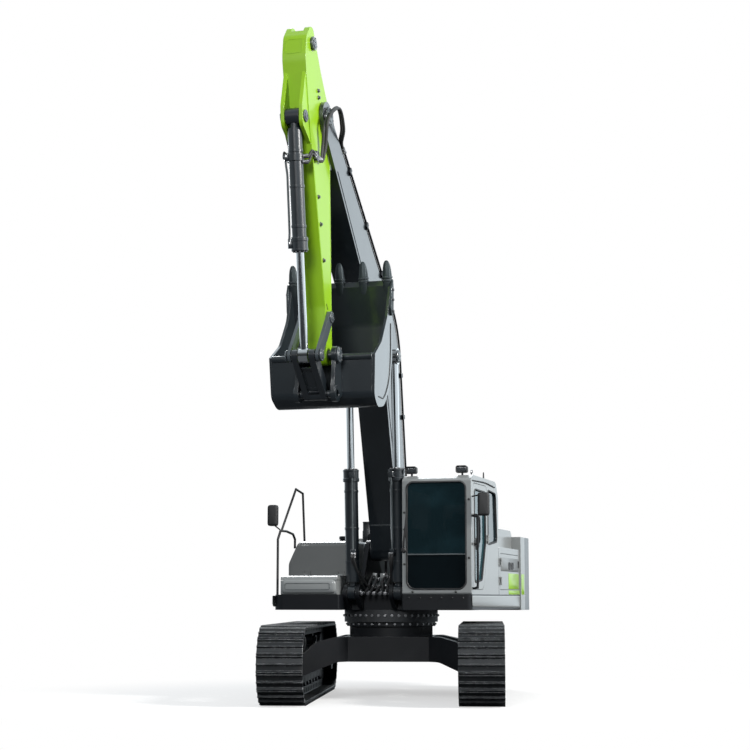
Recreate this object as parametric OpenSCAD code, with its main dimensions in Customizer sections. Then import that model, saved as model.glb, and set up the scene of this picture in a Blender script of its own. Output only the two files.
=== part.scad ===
// Crawler excavator of the 36 tonne class, boom raised, arm and bucket drawn in.
// Frame: +Z up from the ground, -Y towards the boom's side of the upper structure,
// +X towards the cab. The origin is on the swing axis, at ground level.

/* [Undercarriage] */
// Distance between the centres of the two tracks
track_gauge = 2590; // [2500:10:2700]
// Length of a track over its lugs
track_length = 4940; // [4700:10:5200]
// Height of a track over its lugs
track_height = 1040; // [1000:10:1080]
// Width of a track shoe
shoe_width = 600; // [500:10:700]
// Height of a shoe's three lugs
lug_height = 34; // [24:1:40]
// Thickness of a shoe's plate
shoe_plate = 26; // [18:1:32]
// Depth of the chain links under the shoes
chain_depth = 100; // [90:1:110]
// Number of shoes on a track
shoe_count = 48; // [44:1:52]
// Angle that the upper structure is turned from the tracks
swing_rest = 12; // [0:1:20]

/* [Upper structure] */
// Half of the deck's width
deck_half = 1420; // [1380:5:1460]
// Height of the deck's underside
deck_low = 1230; // [1210:5:1250]
// Height of the deck's top
deck_top = 1440; // [1430:5:1450]
// Reach of the deck's front edge from the swing axis
deck_front = 1080; // [1060:5:1120]
// Radius of the tail
tail_radius = 3300; // [3200:10:3400]
// Height of the counterweight's top
weight_top = 2330; // [2250:10:2400]
// Height of the side bodies' top
body_top = 2130; // [2080:10:2180]
// Height of the engine hood's top
hood_top = 2420; // [2360:10:2460]

/* [Cab] */
// Gap between the boom cylinders' mounts and the cab
cab_gap = 15; // [10:1:40]
// Depth of the cab from windscreen to rear wall
cab_depth = 1800; // [1700:10:1850]
// Height of the cab's roof above the ground
cab_top = 3060; // [2980:10:3140]
// Thickness of the cab's walls and of its door
cab_wall = 60; // [50:1:70]
// Thickness of a pane of glass
pane = 6; // [5:1:10]

/* [Front linkage] */
// Forward place of the boom's foot pin
foot_f = 100; // [80:1:120]
// Height of the boom's foot pin
foot_z = 2080; // [2060:1:2100]
// Length of the boom from foot pin to arm pin
boom_length = 6440; // [6400:10:6500]
// Width of the boom
boom_width = 420; // [400:2:430]
// Angle of the boom's pin line above the horizon
boom_angle = 55.5; // [54:0.5:57]
// Length of the arm from boom pin to bucket pin
arm_length = 3000; // [2940:10:3060]
// Width of the arm
arm_width = 300; // [290:2:310]
// Angle of the arm below the horizon
arm_angle = 95.5; // [94:0.5:97]
// Width of the bucket
bucket_width = 1400; // [1300:10:1500]
// Radius from the bucket's hinge pin to its tooth tips
tooth_radius = 1630; // [1600:5:1660]
// Clearance of a pin in its bore
pin_gap = 0.3; // [0.2:0.05:0.5]

/* [Hidden] */
$fn = 64;

// Colours of the machine
grey = [0.62, 0.64, 0.65];
dark = [0.07, 0.08, 0.09];
lime = [0.64, 0.86, 0.05];
slate = [0.22, 0.23, 0.24];
steel = [0.75, 0.78, 0.80];
smoke = [0.10, 0.16, 0.18, 0.5];

// Side view helpers. Points are [forward, height]; forward is -Y.
function unit(v) = v / norm(v);
function mid(a, b, t) = a + t * (b - a);

// The points of a round corner at b, between a and c, with radius r in n steps
function corner(a, b, c, r, n = 6) =
    let (u = unit(a - b), v = unit(c - b), turn = acos(max(-1, min(1, u * v))))
    (r <= 0 || turn > 179.5) ? [b] :
    let (t = r / tan(turn / 2), h = r / sin(turn / 2), o = b + h * unit(u + v), p = b + t * u, q = b + t * v)
    [for (i = [0 : n]) o + r * unit(mid(p - o, q - o, i / n))];

// An outline from [forward, height, corner radius] rows
function outline(rows, n = 6) =
    let (k = len(rows), at = function(i) [rows[(i + k) % k][0], rows[(i + k) % k][1]])
    [for (i = [0 : k - 1]) each corner(at(i - 1), at(i), at(i + 1), rows[i][2], n)];

// A side outline made solid from x = from to x = to
module side(points, from, to) {
    translate([from, 0, 0])
        rotate([90, 0, 90])
            linear_extrude(to - from) polygon([for (p = points) [-p[0], p[1]]]);
}

// The same solid on both sides of the middle plane
module pair() {
    children();
    mirror([1, 0, 0]) children();
}

// A cylinder along X at a side view place
module shaft(p, r, from, to) {
    translate([from, -p[0], p[1]]) rotate([0, 90, 0]) cylinder(r = r, h = to - from);
}

// A block given by its low and high corners as [x, forward, height]
module block(low, high) {
    translate([low[0], -high[1], low[2]]) cube([high[0] - low[0], high[1] - low[1], high[2] - low[2]]);
}

// Undercarriage frame, turned under the upper structure
module on_tracks() {
    rotate([0, 0, swing_rest]) children();
}
module at_track(s) {
    on_tracks() translate([s * track_gauge / 2, 0, 0]) children();
}

// Track loop
shoe_r = track_height / 2 - lug_height;
wheel_f = (track_length - track_height) / 2;
wheel_z = track_height / 2;
chain_r = shoe_r - shoe_plate;
wheel_r = chain_r - chain_depth;
rail_half = 95;
rail_width = 52;
loop_length = 4 * wheel_f + 2 * PI * shoe_r;
shoe_pitch = loop_length / shoe_count;

// Place on the loop at distance s and offset h out from the shoes' outer face
function loop_at(s, h) =
    let (straight = 2 * wheel_f, arc = PI * shoe_r, w = s % loop_length)
    w < straight ? [wheel_f - w, wheel_z + shoe_r + h] :
    w < straight + arc ? let (a = 90 + (w - straight) / shoe_r * 180 / PI)
        [-wheel_f + (shoe_r + h) * cos(a), wheel_z + (shoe_r + h) * sin(a)] :
    w < 2 * straight + arc ? [-wheel_f + w - straight - arc, wheel_z - shoe_r - h] :
    let (a = -90 + (w - 2 * straight - arc) / shoe_r * 180 / PI)
        [wheel_f + (shoe_r + h) * cos(a), wheel_z + (shoe_r + h) * sin(a)];

// One shoe's outline: share of the pitch, share of the lug height
shoe_rows = [[0.03, -0.5], [0.03, 0.9], [0.09, 1], [0.16, 0.1], [0.44, 0.1], [0.47, 1], [0.53, 1],
    [0.56, 0.1], [0.84, 0.1], [0.91, 1], [0.97, 0.9], [0.97, -0.5]];

module loop(r) {
    for (e = [-1, 1]) translate([e * wheel_f, wheel_z]) circle(r = r);
    translate([-wheel_f, wheel_z - r]) square([2 * wheel_f, 2 * r]);
}

module track() {
    color(dark) {
        rotate([90, 0, 90]) translate([0, 0, -shoe_width / 2]) linear_extrude(shoe_width) difference() {
            polygon([for (i = [0 : shoe_count - 1], row = shoe_rows)
                loop_at((i + row[0]) * shoe_pitch, row[1] * lug_height)]);
            loop(chain_r);
        }
        for (e = [-1, 1]) rotate([90, 0, 90])
            translate([0, 0, e * (rail_half - rail_width / 2) - rail_width / 2])
                linear_extrude(rail_width) difference() {
                    loop(chain_r);
                    loop(wheel_r);
                }
    }
}

module track_left() at_track(1) track();
module track_right() at_track(-1) track();

// Wheels of the tracks
wheel_gap = 0.4;
// Gap left between plates that are welded or bolted face to face
seam = 0.2;
roller_r = 105;
roller_count = 8;
roller_z = wheel_z - wheel_r + roller_r + wheel_gap;
roller_span = 2 * wheel_f - 1140;
carrier_r = 80;
carrier_z = wheel_z + wheel_r - carrier_r - wheel_gap;
carrier_f = [-700, 700];
frame_low = 330;
frame_high = 640;
frame_half = 150;
frame_end = wheel_f - wheel_r - 40;

module idler() color(slate) {
    shaft([wheel_f, wheel_z], wheel_r - wheel_gap, -rail_half, rail_half);
    shaft([wheel_f, wheel_z], 95, -frame_half, frame_half);
}
module idlers() for (s = [-1, 1]) at_track(s) idler();

sprocket_teeth = 21;
tooth_depth = 46;
module sprocket(s) color(slate) {
    difference() {
        shaft([-wheel_f, wheel_z], wheel_r - wheel_gap, -rail_half, rail_half);
        for (i = [0 : sprocket_teeth - 1])
            translate([0, wheel_f, wheel_z]) rotate([i * 360 / sprocket_teeth, 0, 0])
                shaft([0, wheel_r], tooth_depth * 0.7, -rail_half - 1, rail_half + 1);
    }
    shaft([-wheel_f, wheel_z], 250, s > 0 ? rail_half : -230, s > 0 ? 230 : -rail_half);
    shaft([-wheel_f, wheel_z], 170, s > 0 ? 230 : -285, s > 0 ? 285 : -230);
    shaft([-wheel_f, wheel_z], 210, s > 0 ? -260 : rail_half, s > 0 ? -rail_half : 260);
}
module sprockets() for (s = [-1, 1]) at_track(s) sprocket(s);

module roller(p, r) color(slate) {
    shaft(p, r, -rail_half, rail_half);
    shaft(p, r * 0.45, -frame_half + 20, frame_half - 20);
}
module bottom_rollers() for (s = [-1, 1], i = [0 : roller_count - 1]) at_track(s)
    roller([-roller_span / 2 + i * roller_span / (roller_count - 1), roller_z], roller_r);
module carrier_rollers() for (s = [-1, 1], f = carrier_f) at_track(s) color(slate) {
    shaft([f, carrier_z], carrier_r, -rail_half, rail_half);
    shaft([f, carrier_z], 40, -frame_half, frame_half);
}

// Track frame: a long box beam with a fork for the idler and a mouth for the drive
module track_frame() color(dark) difference() {
    union() {
        side(outline([[-frame_end, frame_low, 20], [frame_end, frame_low, 20], [frame_end, frame_high - 60, 40],
            [frame_end - 120, frame_high, 60], [-frame_end + 120, frame_high, 60],
            [-frame_end, frame_high - 60, 40]]), -frame_half, frame_half);
        // Arms that carry the idler
        pair() side(outline([[frame_end - 60, frame_low + 30, 20], [wheel_f + 120, wheel_z - 110, 60],
            [wheel_f + 120, wheel_z + 110, 60], [frame_end - 60, frame_high - 30, 20]]), rail_half + 12, frame_half);
        // Arms that carry the drive
        pair() side(outline([[-frame_end + 60, frame_low + 30, 20], [-frame_end + 60, frame_high - 30, 20],
            [-wheel_f - 60, wheel_z + 150, 80], [-wheel_f - 60, wheel_z - 150, 80]]), rail_half + 12, frame_half);
        // Posts of the carrier rollers
        for (f = carrier_f) pair() side(outline([[f - 110, frame_high - 30, 0], [f + 110, frame_high - 30, 0],
            [f + 60, carrier_z + 55, 40], [f - 60, carrier_z + 55, 40]]), rail_half + 12, frame_half - 8);
        // Roller guards below the beam
        pair() side(outline([[-frame_end + 20, roller_z - 30, 30], [frame_end - 20, roller_z - 30, 30],
            [frame_end - 60, frame_low + 20, 10], [-frame_end + 60, frame_low + 20, 10]]),
            rail_half + 8, rail_half + 33);
    }
    // Room above the rollers
    block([-rail_half - 3, -frame_end + 30, 0], [rail_half + 3, frame_end - 30, roller_z + roller_r + 4]);
    shaft([wheel_f, wheel_z], 95 + pin_gap, -frame_half - 1, frame_half + 1);
    for (e = [-1, 1]) shaft([-wheel_f, wheel_z], 255, e > 0 ? rail_half : -frame_half - 1,
        e > 0 ? frame_half + 1 : -rail_half);
    for (f = carrier_f) shaft([f, carrier_z], 40 + pin_gap, -frame_half - 1, frame_half + 1);
    for (i = [0 : roller_count - 1])
        shaft([-roller_span / 2 + i * roller_span / (roller_count - 1), roller_z], roller_r * 0.45 + pin_gap,
            -frame_half, frame_half);
}
module track_frame_left() at_track(1) track_frame();
module track_frame_right() at_track(-1) track_frame();

// Car body: arched beam and X legs between the track frames
leg_reach = track_gauge / 2 - frame_half;
arch_top = 860;
tower_r = 590;
ring_low = 1000;
module carbody() on_tracks() color(dark) {
    intersection() {
        linear_extrude(1200) polygon(concat(
            [[-leg_reach, -1350], [-leg_reach, -760], [-620, -420], [-620, 420], [-leg_reach, 760],
                [-leg_reach, 1350], [-560, 700], [560, 700]],
            [[leg_reach, 1350], [leg_reach, 760], [620, 420], [620, -420], [leg_reach, -760],
                [leg_reach, -1350], [560, -700], [-560, -700]]));
        translate([0, 2000, 0]) rotate([90, 0, 0]) linear_extrude(4000) polygon(outline([
            [-leg_reach, 340, 0], [-700, 520, 240], [700, 520, 240], [leg_reach, 340, 0],
            [leg_reach, 620, 0], [leg_reach - 190, 800, 120], [720, arch_top, 200], [-720, arch_top, 200],
            [-leg_reach + 190, 800, 120], [-leg_reach, 620, 0]]));
    }
    translate([0, 0, arch_top - 60]) cylinder(r = tower_r, h = ring_low - arch_top + 60);
    translate([0, 0, ring_low]) cylinder(r = tower_r + 40, h = 60);
}

// Slewing ring, on the upper structure
ring_r = 665;
module swing_ring() color(slate) {
    translate([0, 0, ring_low + 60.5]) cylinder(r = ring_r, h = deck_low - ring_low - 60.5);
}

// Knuckles of the hinges
hinge_r = 14;
hinge_out = 15;
hinge_pin = 7;
hinge_h = 60;
hinge_leaf = 70;

// Deck of the upper structure
cyl_x = 330;
cyl_base = [800, 1470];
notch_f = 640;
body_rear = -2300;
foot_plate = [246, 306];
ear_rows = [[213, 270], [390, 440]];
cab_x = ear_rows[1][1] + cab_gap;
notch_half = cab_x - 10;
ear_r = 112;
base_pin_r = 45;
foot_pin_r = 60;
module deck() color(dark) {
    difference() {
        union() {
            translate([0, 0, deck_low]) linear_extrude(deck_top - deck_low) polygon([for (p = concat(
                outline([[-deck_half, body_rear, 0], [deck_half, body_rear, 0], [deck_half, deck_front, 60],
                    [notch_half, deck_front, 20], [notch_half, notch_f, 30], [-notch_half, notch_f, 30],
                    [-notch_half, deck_front, 20], [-deck_half, deck_front, 160]]))) [p[0], -p[1]]]);
            // Brackets of the boom's foot
            pair() side(outline([[-520, deck_top, 0], [620, deck_top, 0], [560, deck_top + 160, 60],
                [foot_f + 150, foot_z + 130, 140], [foot_f - 150, foot_z + 130, 140],
                [-420, deck_top + 240, 120]]), foot_plate[0], foot_plate[1]);
            // Ears of the boom cylinders
            for (e = ear_rows) pair() side(outline([[notch_f - 60, deck_low + 20, 0], [notch_f + 80, deck_low + 20, 0],
                [cyl_base[0] + ear_r, cyl_base[1] - 60, 80], [cyl_base[0] + ear_r, cyl_base[1] + ear_r, ear_r],
                [cyl_base[0] - ear_r, cyl_base[1] + ear_r, ear_r], [notch_f - 60, deck_top, 0]]), e[0], e[1]);
        }
        shaft([foot_f, foot_z], foot_pin_r + pin_gap, -400, 400);
        shaft(cyl_base, base_pin_r + pin_gap, -500, 500);
    }
}

module upper_pins() color(steel) {
    shaft([foot_f, foot_z], foot_pin_r, -foot_plate[1] - 30, foot_plate[1] + 30);
    pair() shaft(cyl_base, base_pin_r, ear_rows[0][0] - 12, ear_rows[1][1]);
}

// Counterweight: the tail of a drum about the swing axis, with two holes for lifting eyes
lift_at = [700, -2700];
lift_r = 32;
lift_depth = 140;
module weight_block() difference() {
    intersection() {
        translate([0, 0, deck_low - 20]) cylinder(r = tail_radius, h = weight_top - deck_low + 20, $fn = 128);
        side(outline([[body_rear, deck_low - 20, 0], [body_rear, weight_top, 0],
            [-tail_radius + 220, weight_top, 120], [-tail_radius, weight_top - 320, 300],
            [-tail_radius, deck_low + 260, 200], [-tail_radius + 160, deck_low - 20, 160]]),
            -deck_half - 20, deck_half + 20);
    }
    pair() translate([lift_at[0], -lift_at[1], weight_top - lift_depth]) cylinder(r = lift_r, h = lift_depth + 1);
}
hood_hinge = [body_rear - 8, hood_top + hinge_out];
hood_hinge_x = [-300, 960];
module counterweight() color(grey) {
    weight_block();
    for (x = hood_hinge_x) {
        level_knuckles(hood_hinge, x);
        level_pin(hood_hinge, x);
        level_post(hood_hinge, x, [body_rear - 40, weight_top - 1], [hood_hinge[0], hood_hinge[1]]);
    }
}

// Cab: a hollow shell with its windows cut, and its door on the outer side
cab_rear = deck_front - cab_depth;
cab_low = deck_top;
sill = 90;
cab_side = outline([[cab_rear, cab_low, 10], [deck_front, cab_low, 30], [deck_front, cab_top - 60, 40],
    [deck_front - 130, cab_top, 130], [cab_rear + 160, cab_top, 160], [cab_rear, cab_top - 220, 160]], 8);
cab_inside = outline([[cab_rear + cab_wall, cab_low + sill, 10], [deck_front - cab_wall, cab_low + sill, 30],
    [deck_front - cab_wall, cab_top - 60 - cab_wall, 30], [deck_front - 130, cab_top - cab_wall, 90],
    [cab_rear + 160, cab_top - cab_wall, 110], [cab_rear + cab_wall, cab_top - 220, 110]], 8);
door_gap = 6;
door_front = deck_front - 130;
door_rear = deck_front - 1010;
door_low = cab_low + 70;
door_high = cab_top - 110;
// The door's outline, narrower at its foot behind the wheel arch of the old step
door_rows = [[door_rear, door_low + 520, 120], [door_rear + 260, door_low, 160], [door_front, door_low, 60],
    [door_front, door_high, 90], [door_rear, door_high, 90]];
function grown(rows, d) = [for (r = rows) [r[0] + (r[0] > (door_front + door_rear) / 2 ? d : -d),
    r[1] + (r[1] > (door_low + door_high) / 2 ? d : -d), r[2]]];
module window_front(d, from, to) {
    // Rounded opening of the windscreen, d larger than the glass
    low = [cab_x + 62 - d, cab_low + 75 - d];
    high = [deck_half - 75 + d, cab_top - 95 + d];
    translate([0, -from, 0]) rotate([90, 0, 0]) linear_extrude(to - from) polygon(outline([
        [low[0], low[1], 110], [high[0], low[1], 110], [high[0], high[1], 90], [low[0], high[1], 90]]));
}
quarter_rows = [[cab_rear + 110, cab_low + 760, 60], [door_rear - 70, cab_low + 700, 60],
    [door_rear - 70, cab_top - 150, 60], [cab_rear + 180, cab_top - 170, 90]];
right_rows = [[cab_rear + 120, cab_low + 560, 80], [deck_front - 130, cab_low + 420, 80],
    [deck_front - 160, cab_top - 150, 90], [cab_rear + 190, cab_top - 170, 90]];
rear_rows = [[cab_x + 130, cab_low + 760, 60], [deck_half - 130, cab_low + 760, 60],
    [deck_half - 130, cab_top - 300, 60], [cab_x + 130, cab_top - 300, 60]];
module rear_window(from, to) {
    translate([0, -from, 0]) rotate([90, 0, 0]) linear_extrude(to - from) polygon(outline(rear_rows));
}
module cab_frame() color(grey) {
    cab_shell();
    for (z = door_hinge_z) body_hinge(1, door_hinge_f, z, -1);
}
module cab_shell() difference() {
    side(cab_side, cab_x, deck_half);
    side(cab_inside, cab_x + cab_wall, deck_half - cab_wall);
    window_front(0, deck_front - 200, deck_front + 100);
    rear_window(cab_rear - 100, cab_rear + 100);
    side(outline(right_rows), cab_x - 10, cab_x + cab_wall + 10);
    side(outline(quarter_rows), deck_half - cab_wall - 10, deck_half + 10);
    side(outline(grown(door_rows, door_gap)), deck_half - cab_wall - 10, deck_half + 10);
}
glass_inset = 20;
module cab_glass() color(smoke) {
    window_front(0, deck_front - glass_inset - pane, deck_front - glass_inset);
    rear_window(cab_rear + glass_inset, cab_rear + glass_inset + pane);
    side(outline(right_rows), cab_x + glass_inset, cab_x + glass_inset + pane);
    side(outline(quarter_rows), deck_half - glass_inset - pane, deck_half - glass_inset);
}
door_pane_rows = [[door_rear + 90, door_low + 640, 80], [door_rear + 340, door_low + 130, 100],
    [door_front - 80, door_low + 90, 60], [door_front - 80, door_high - 80, 70], [door_rear + 90, door_high - 80, 70]];
// Upright hinges: a body's two knuckles and pin, and the door's knuckle between them
module knuckle(s, f, z, h, d) {
    translate([s * (deck_half + hinge_out), -f, z]) cylinder(r = hinge_r, h = h);
    low = min(f, f + d * hinge_leaf);
    block([s > 0 ? deck_half : -deck_half - 8, d > 0 ? f + 3 : low, z],
        [s > 0 ? deck_half + 8 : -deck_half, d > 0 ? low + hinge_leaf : f - 3, z + h]);
    block([s > 0 ? deck_half + 1 : -deck_half - hinge_out, d > 0 ? f : f - 12, z],
        [s > 0 ? deck_half + hinge_out : -deck_half - 1, d > 0 ? f + 12 : f, z + h]);
}
module body_hinge(s, f, z, d) {
    for (k = [-1, 1]) knuckle(s, f, z + k * hinge_h * 0.75 - hinge_h / 4 + k * 0.5, hinge_h / 2, d);
    translate([s * (deck_half + hinge_out), -f, z - hinge_h]) cylinder(r = hinge_pin, h = 2 * hinge_h);
}
module door_hinge(s, f, z, d) difference() {
    knuckle(s, f, z - hinge_h / 2, hinge_h, d);
    translate([s * (deck_half + hinge_out), -f, z - hinge_h]) cylinder(r = hinge_pin + pin_gap, h = 2 * hinge_h);
}
// Level hinges along X: knuckles on an axis at p, each with a post to its seat
module level_pin(p, x) shaft(p, hinge_pin, x - hinge_h, x + hinge_h);
module level_knuckles(p, x) for (k = [-1, 1])
    shaft(p, hinge_r, x + k * (hinge_h * 0.75 + 0.5) - hinge_h / 4, x + k * (hinge_h * 0.75 + 0.5) + hinge_h / 4);
module level_post(p, x, low, high) for (k = [-1, 1]) let (m = x + k * (hinge_h * 0.75 + 0.5))
    block([m - hinge_h / 4, low[0], low[1]], [m + hinge_h / 4, high[0], high[1]]);
module level_leaf(p, x, low, high) difference() {
    union() {
        shaft(p, hinge_r, x - hinge_h / 2, x + hinge_h / 2);
        block([x - hinge_h / 2, p[0], p[1] - hinge_out], [x + hinge_h / 2, p[0] + 12, p[1]]);
        block([x - hinge_h / 2, low[0], low[1]], [x + hinge_h / 2, high[0], high[1]]);
    }
    shaft(p, hinge_pin + pin_gap, x - hinge_h, x + hinge_h);
}
door_hinge_f = door_rear - door_gap / 2;
door_hinge_z = [door_low + 700, door_high - 200];
module cab_door() color(grey) {
    difference() {
        side(outline(door_rows), deck_half - cab_wall + 8, deck_half);
        side(outline(door_pane_rows), deck_half - cab_wall - 10, deck_half + 10);
    }
    for (z = door_hinge_z) door_hinge(1, door_hinge_f, z, 1);
}
module door_glass() color(smoke) {
    side(outline(door_pane_rows), deck_half - glass_inset - pane, deck_half - glass_inset);
}
seat_x = (cab_x + deck_half) / 2;
seat_f = cab_rear + 560;
floor_z = cab_low + sill;
module seat() color(slate) {
    block([seat_x - 150, seat_f - 200, floor_z], [seat_x + 150, seat_f + 200, floor_z + 260]);
    side(outline([[seat_f - 260, floor_z + 260, 30], [seat_f + 290, floor_z + 260, 60], [seat_f + 290, floor_z + 390, 60],
        [seat_f - 120, floor_z + 370, 40], [seat_f - 230, floor_z + 1020, 60], [seat_f - 340, floor_z + 1000, 50],
        [seat_f - 270, floor_z + 380, 40]]), seat_x - 250, seat_x + 250);
}
console_half = 65;
console_gap = 72.5;
console_x = (deck_half - cab_x) / 2 - console_gap - console_half;
module cab_controls() color(slate) {
    for (e = [-1, 1]) {
        side(outline([[seat_f - 150, floor_z, 0], [seat_f + 300, floor_z, 0], [seat_f + 330, floor_z + 520, 40],
            [seat_f - 150, floor_z + 470, 40]]), seat_x + e * console_x - console_half, seat_x + e * console_x + console_half);
        translate([seat_x + e * console_x, -(seat_f + 250), floor_z + 500]) cylinder(r = 22, h = 200);
    }
    // Travel pedals and levers
    for (e = [-1, 1]) {
        side(outline([[deck_front - 340, floor_z, 0], [deck_front - 240, floor_z, 0],
            [deck_front - 180, floor_z + 120, 0], [deck_front - 300, floor_z + 110, 0]]),
            seat_x + e * 90 - 60, seat_x + e * 90 + 60);
        translate([seat_x + e * 90, -(deck_front - 270), floor_z + 80]) rotate([-8, 0, 0]) cylinder(r = 14, h = 620);
    }
    // Monitor on the front right pillar
    block([cab_x + cab_wall, deck_front - 120, floor_z + 620], [cab_x + cab_wall + 170, deck_front - 85, floor_z + 800]);
}

// Bodies behind the cab and on the right side
wall = 40;
engine_front = -1250;
side_inner = 620;
door_low_z = deck_top + 70;
rad_front = cab_rear - 20;
rad_hinge_f = rad_front - 83;
bay_hinge_z = [door_low_z + 130, body_top - 220];
module radiator_body() color(grey) {
    difference() {
        side(outline([[body_rear, deck_top, 0], [rad_front, deck_top, 0], [rad_front, body_top, 60],
            [body_rear, body_top, 0]]), side_inner, deck_half);
        side(outline([[body_rear + wall, deck_top - 1, 0], [rad_front - wall, deck_top - 1, 0],
            [rad_front - wall, body_top - wall, 0], [body_rear + wall, body_top - wall, 0]]),
            side_inner + wall, deck_half - wall);
        block([deck_half - wall - 5, body_rear + 60, door_low_z], [deck_half + 5, rad_front - 80, body_top - 90]);
    }
    for (z = bay_hinge_z) body_hinge(1, rad_hinge_f, z, 1);
}
module radiator_door() color(grey) {
    block([deck_half - wall, body_rear + 66, door_low_z + 6], [deck_half, rad_front - 86, body_top - 96]);
    for (z = bay_hinge_z) door_hinge(1, rad_hinge_f, z, -1);
}
pump_front = -1000;
pump_hinge_f = pump_front - 83;
module pump_body() color(grey) {
    difference() {
        block([-deck_half, body_rear, deck_top], [-side_inner, pump_front, body_top]);
        block([-deck_half + wall, body_rear + wall, deck_top - 1], [-side_inner - wall, pump_front - wall, body_top - wall]);
        block([-deck_half - 5, body_rear + 60, door_low_z], [-deck_half + wall + 5, pump_front - 80, body_top - 90]);
    }
    for (z = bay_hinge_z) body_hinge(-1, pump_hinge_f, z, 1);
}
module pump_door() color(grey) {
    block([-deck_half, body_rear + 66, door_low_z + 6], [-deck_half + wall, pump_front - 86, body_top - 96]);
    for (z = bay_hinge_z) door_hinge(-1, pump_hinge_f, z, -1);
}

hood_x = [-side_inner - 20, deck_half - 120];
module hood_shell() difference() {
    side(outline([[body_rear + 10, body_top + 6, 0], [engine_front, body_top + 6, 0], [engine_front, hood_top - 60, 60],
        [engine_front - 90, hood_top, 80], [body_rear + 100, hood_top, 80], [body_rear + 10, hood_top - 60, 60]]),
        hood_x[0], hood_x[1]);
    side(outline([[body_rear + 40, body_top, 0], [engine_front - 30, body_top, 0], [engine_front - 30, hood_top - 70, 40],
        [engine_front - 100, hood_top - 30, 60], [body_rear + 110, hood_top - 30, 60], [body_rear + 40, hood_top - 70, 40]]),
        hood_x[0] + 30, hood_x[1] - 30);
}
module engine_hood() color(grey) {
    hood_shell();
    for (x = hood_hinge_x) level_leaf(hood_hinge, x, [hood_hinge[0], hood_top], [body_rear + 160, hood_top + 8]);
}
module engine() color(slate)
    block([-side_inner + 60, body_rear + 120, deck_top], [side_inner - 60, engine_front - 60, body_top - 20]);

tank_x = [-deck_half, -cab_x];
tank_f = [pump_front + 2, 380];
tank_top = 2200;
box_top = 1700;
lid_hinge = [tank_f[1] + hinge_out, box_top + hinge_out];

module fuel_tank() color(slate) {
    tank_block();
    for (x = lid_hinge_x) {
        level_knuckles(lid_hinge, x);
        level_pin(lid_hinge, x);
        level_post(lid_hinge, x, [tank_f[1] - 1, lid_hinge[1]], [tank_f[1] + 8, lid_hinge[1] + 60]);
        level_post(lid_hinge, x, [tank_f[1] - 1, lid_hinge[1]], [lid_hinge[0], lid_hinge[1] + 12]);
    }
}
module tank_block() intersection() {
    side(outline([[tank_f[0], deck_top, 0], [tank_f[1], deck_top, 40], [tank_f[1], tank_top - 30, 60],
        [tank_f[1] - 90, tank_top, 60], [tank_f[0], tank_top, 0]]), tank_x[0], tank_x[1]);
    translate([0, 3000, 0]) rotate([90, 0, 0]) linear_extrude(6000) polygon(outline([[tank_x[0], deck_top, 0],
        [tank_x[1], deck_top, 0], [tank_x[1], tank_top, 40], [tank_x[0] + 150, tank_top, 90], [tank_x[0], tank_top - 320, 160]]));
}
box_f = [tank_f[1] + 5, deck_front - 10];
box_x = [-deck_half + 120, -cab_x - 30];
lid_hinge_x = [box_x[0] + 150, box_x[1] - 155];
lid_t = 60;
module tool_box() color(grey) difference() {
    side(outline([[box_f[0], deck_top, 0], [box_f[1], deck_top, 30], [box_f[1], box_top - lid_t - 5, 0],
        [box_f[0], box_top - lid_t - 5, 0]]), box_x[0], box_x[1]);
    block([box_x[0] + 30, box_f[0] + 30, deck_top + 30], [box_x[1] - 30, box_f[1] - 30, box_top]);
}
module tool_box_lid() color(grey) {
    for (x = lid_hinge_x) level_leaf(lid_hinge, x, [lid_hinge[0], box_top], [lid_hinge[0] + 70, box_top + 8]);
    side(outline([[box_f[0], box_top - lid_t, 0], [box_f[1], box_top - lid_t, 0], [box_f[1] - 10, box_top - 20, 30],
        [box_f[1] - 60, box_top, 40], [box_f[0], box_top, 0]]), box_x[0], box_x[1]);
}

stack = [-side_inner - 140, engine_front - 150];
module exhaust() color(slate) {
    translate([stack[0], -stack[1], body_top]) difference() {
        cylinder(r = 70, h = 420);
        translate([0, 0, 300]) cylinder(r = 62, h = 200);
    }
}

// Tube rails, given as points [x, forward, height]
rail_r = 17;
module tube(from, to, r) {
    a = [from[0], -from[1], from[2]];
    d = [to[0], -to[1], to[2]] - a;
    translate(a) rotate([0, acos(d[2] / norm(d)), atan2(d[1], d[0])]) cylinder(r = r, h = norm(d));
}
rail_x = -deck_half + 75;
rail_f = deck_front - 95;
rail_top = tank_top + 130;
rail_points = [[rail_x - 30, rail_f, deck_top], [rail_x - 30, rail_f, rail_top - 120], [rail_x, rail_f - 25, rail_top],
    [rail_x, 700, rail_top], [rail_x, tank_f[1] + 40, rail_top - 30], [rail_x, tank_f[1] - 50, rail_top - 100],
    [rail_x, tank_f[1] - 50, tank_top - 100]];
rail_loop = [[rail_x, rail_f - 65, rail_top], [rail_x + 115, 640, rail_top + 600],
    [rail_x + 145, tank_f[1] + 40, rail_top + 550], [rail_x + 145, tank_f[1] - 50, tank_top]];
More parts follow.
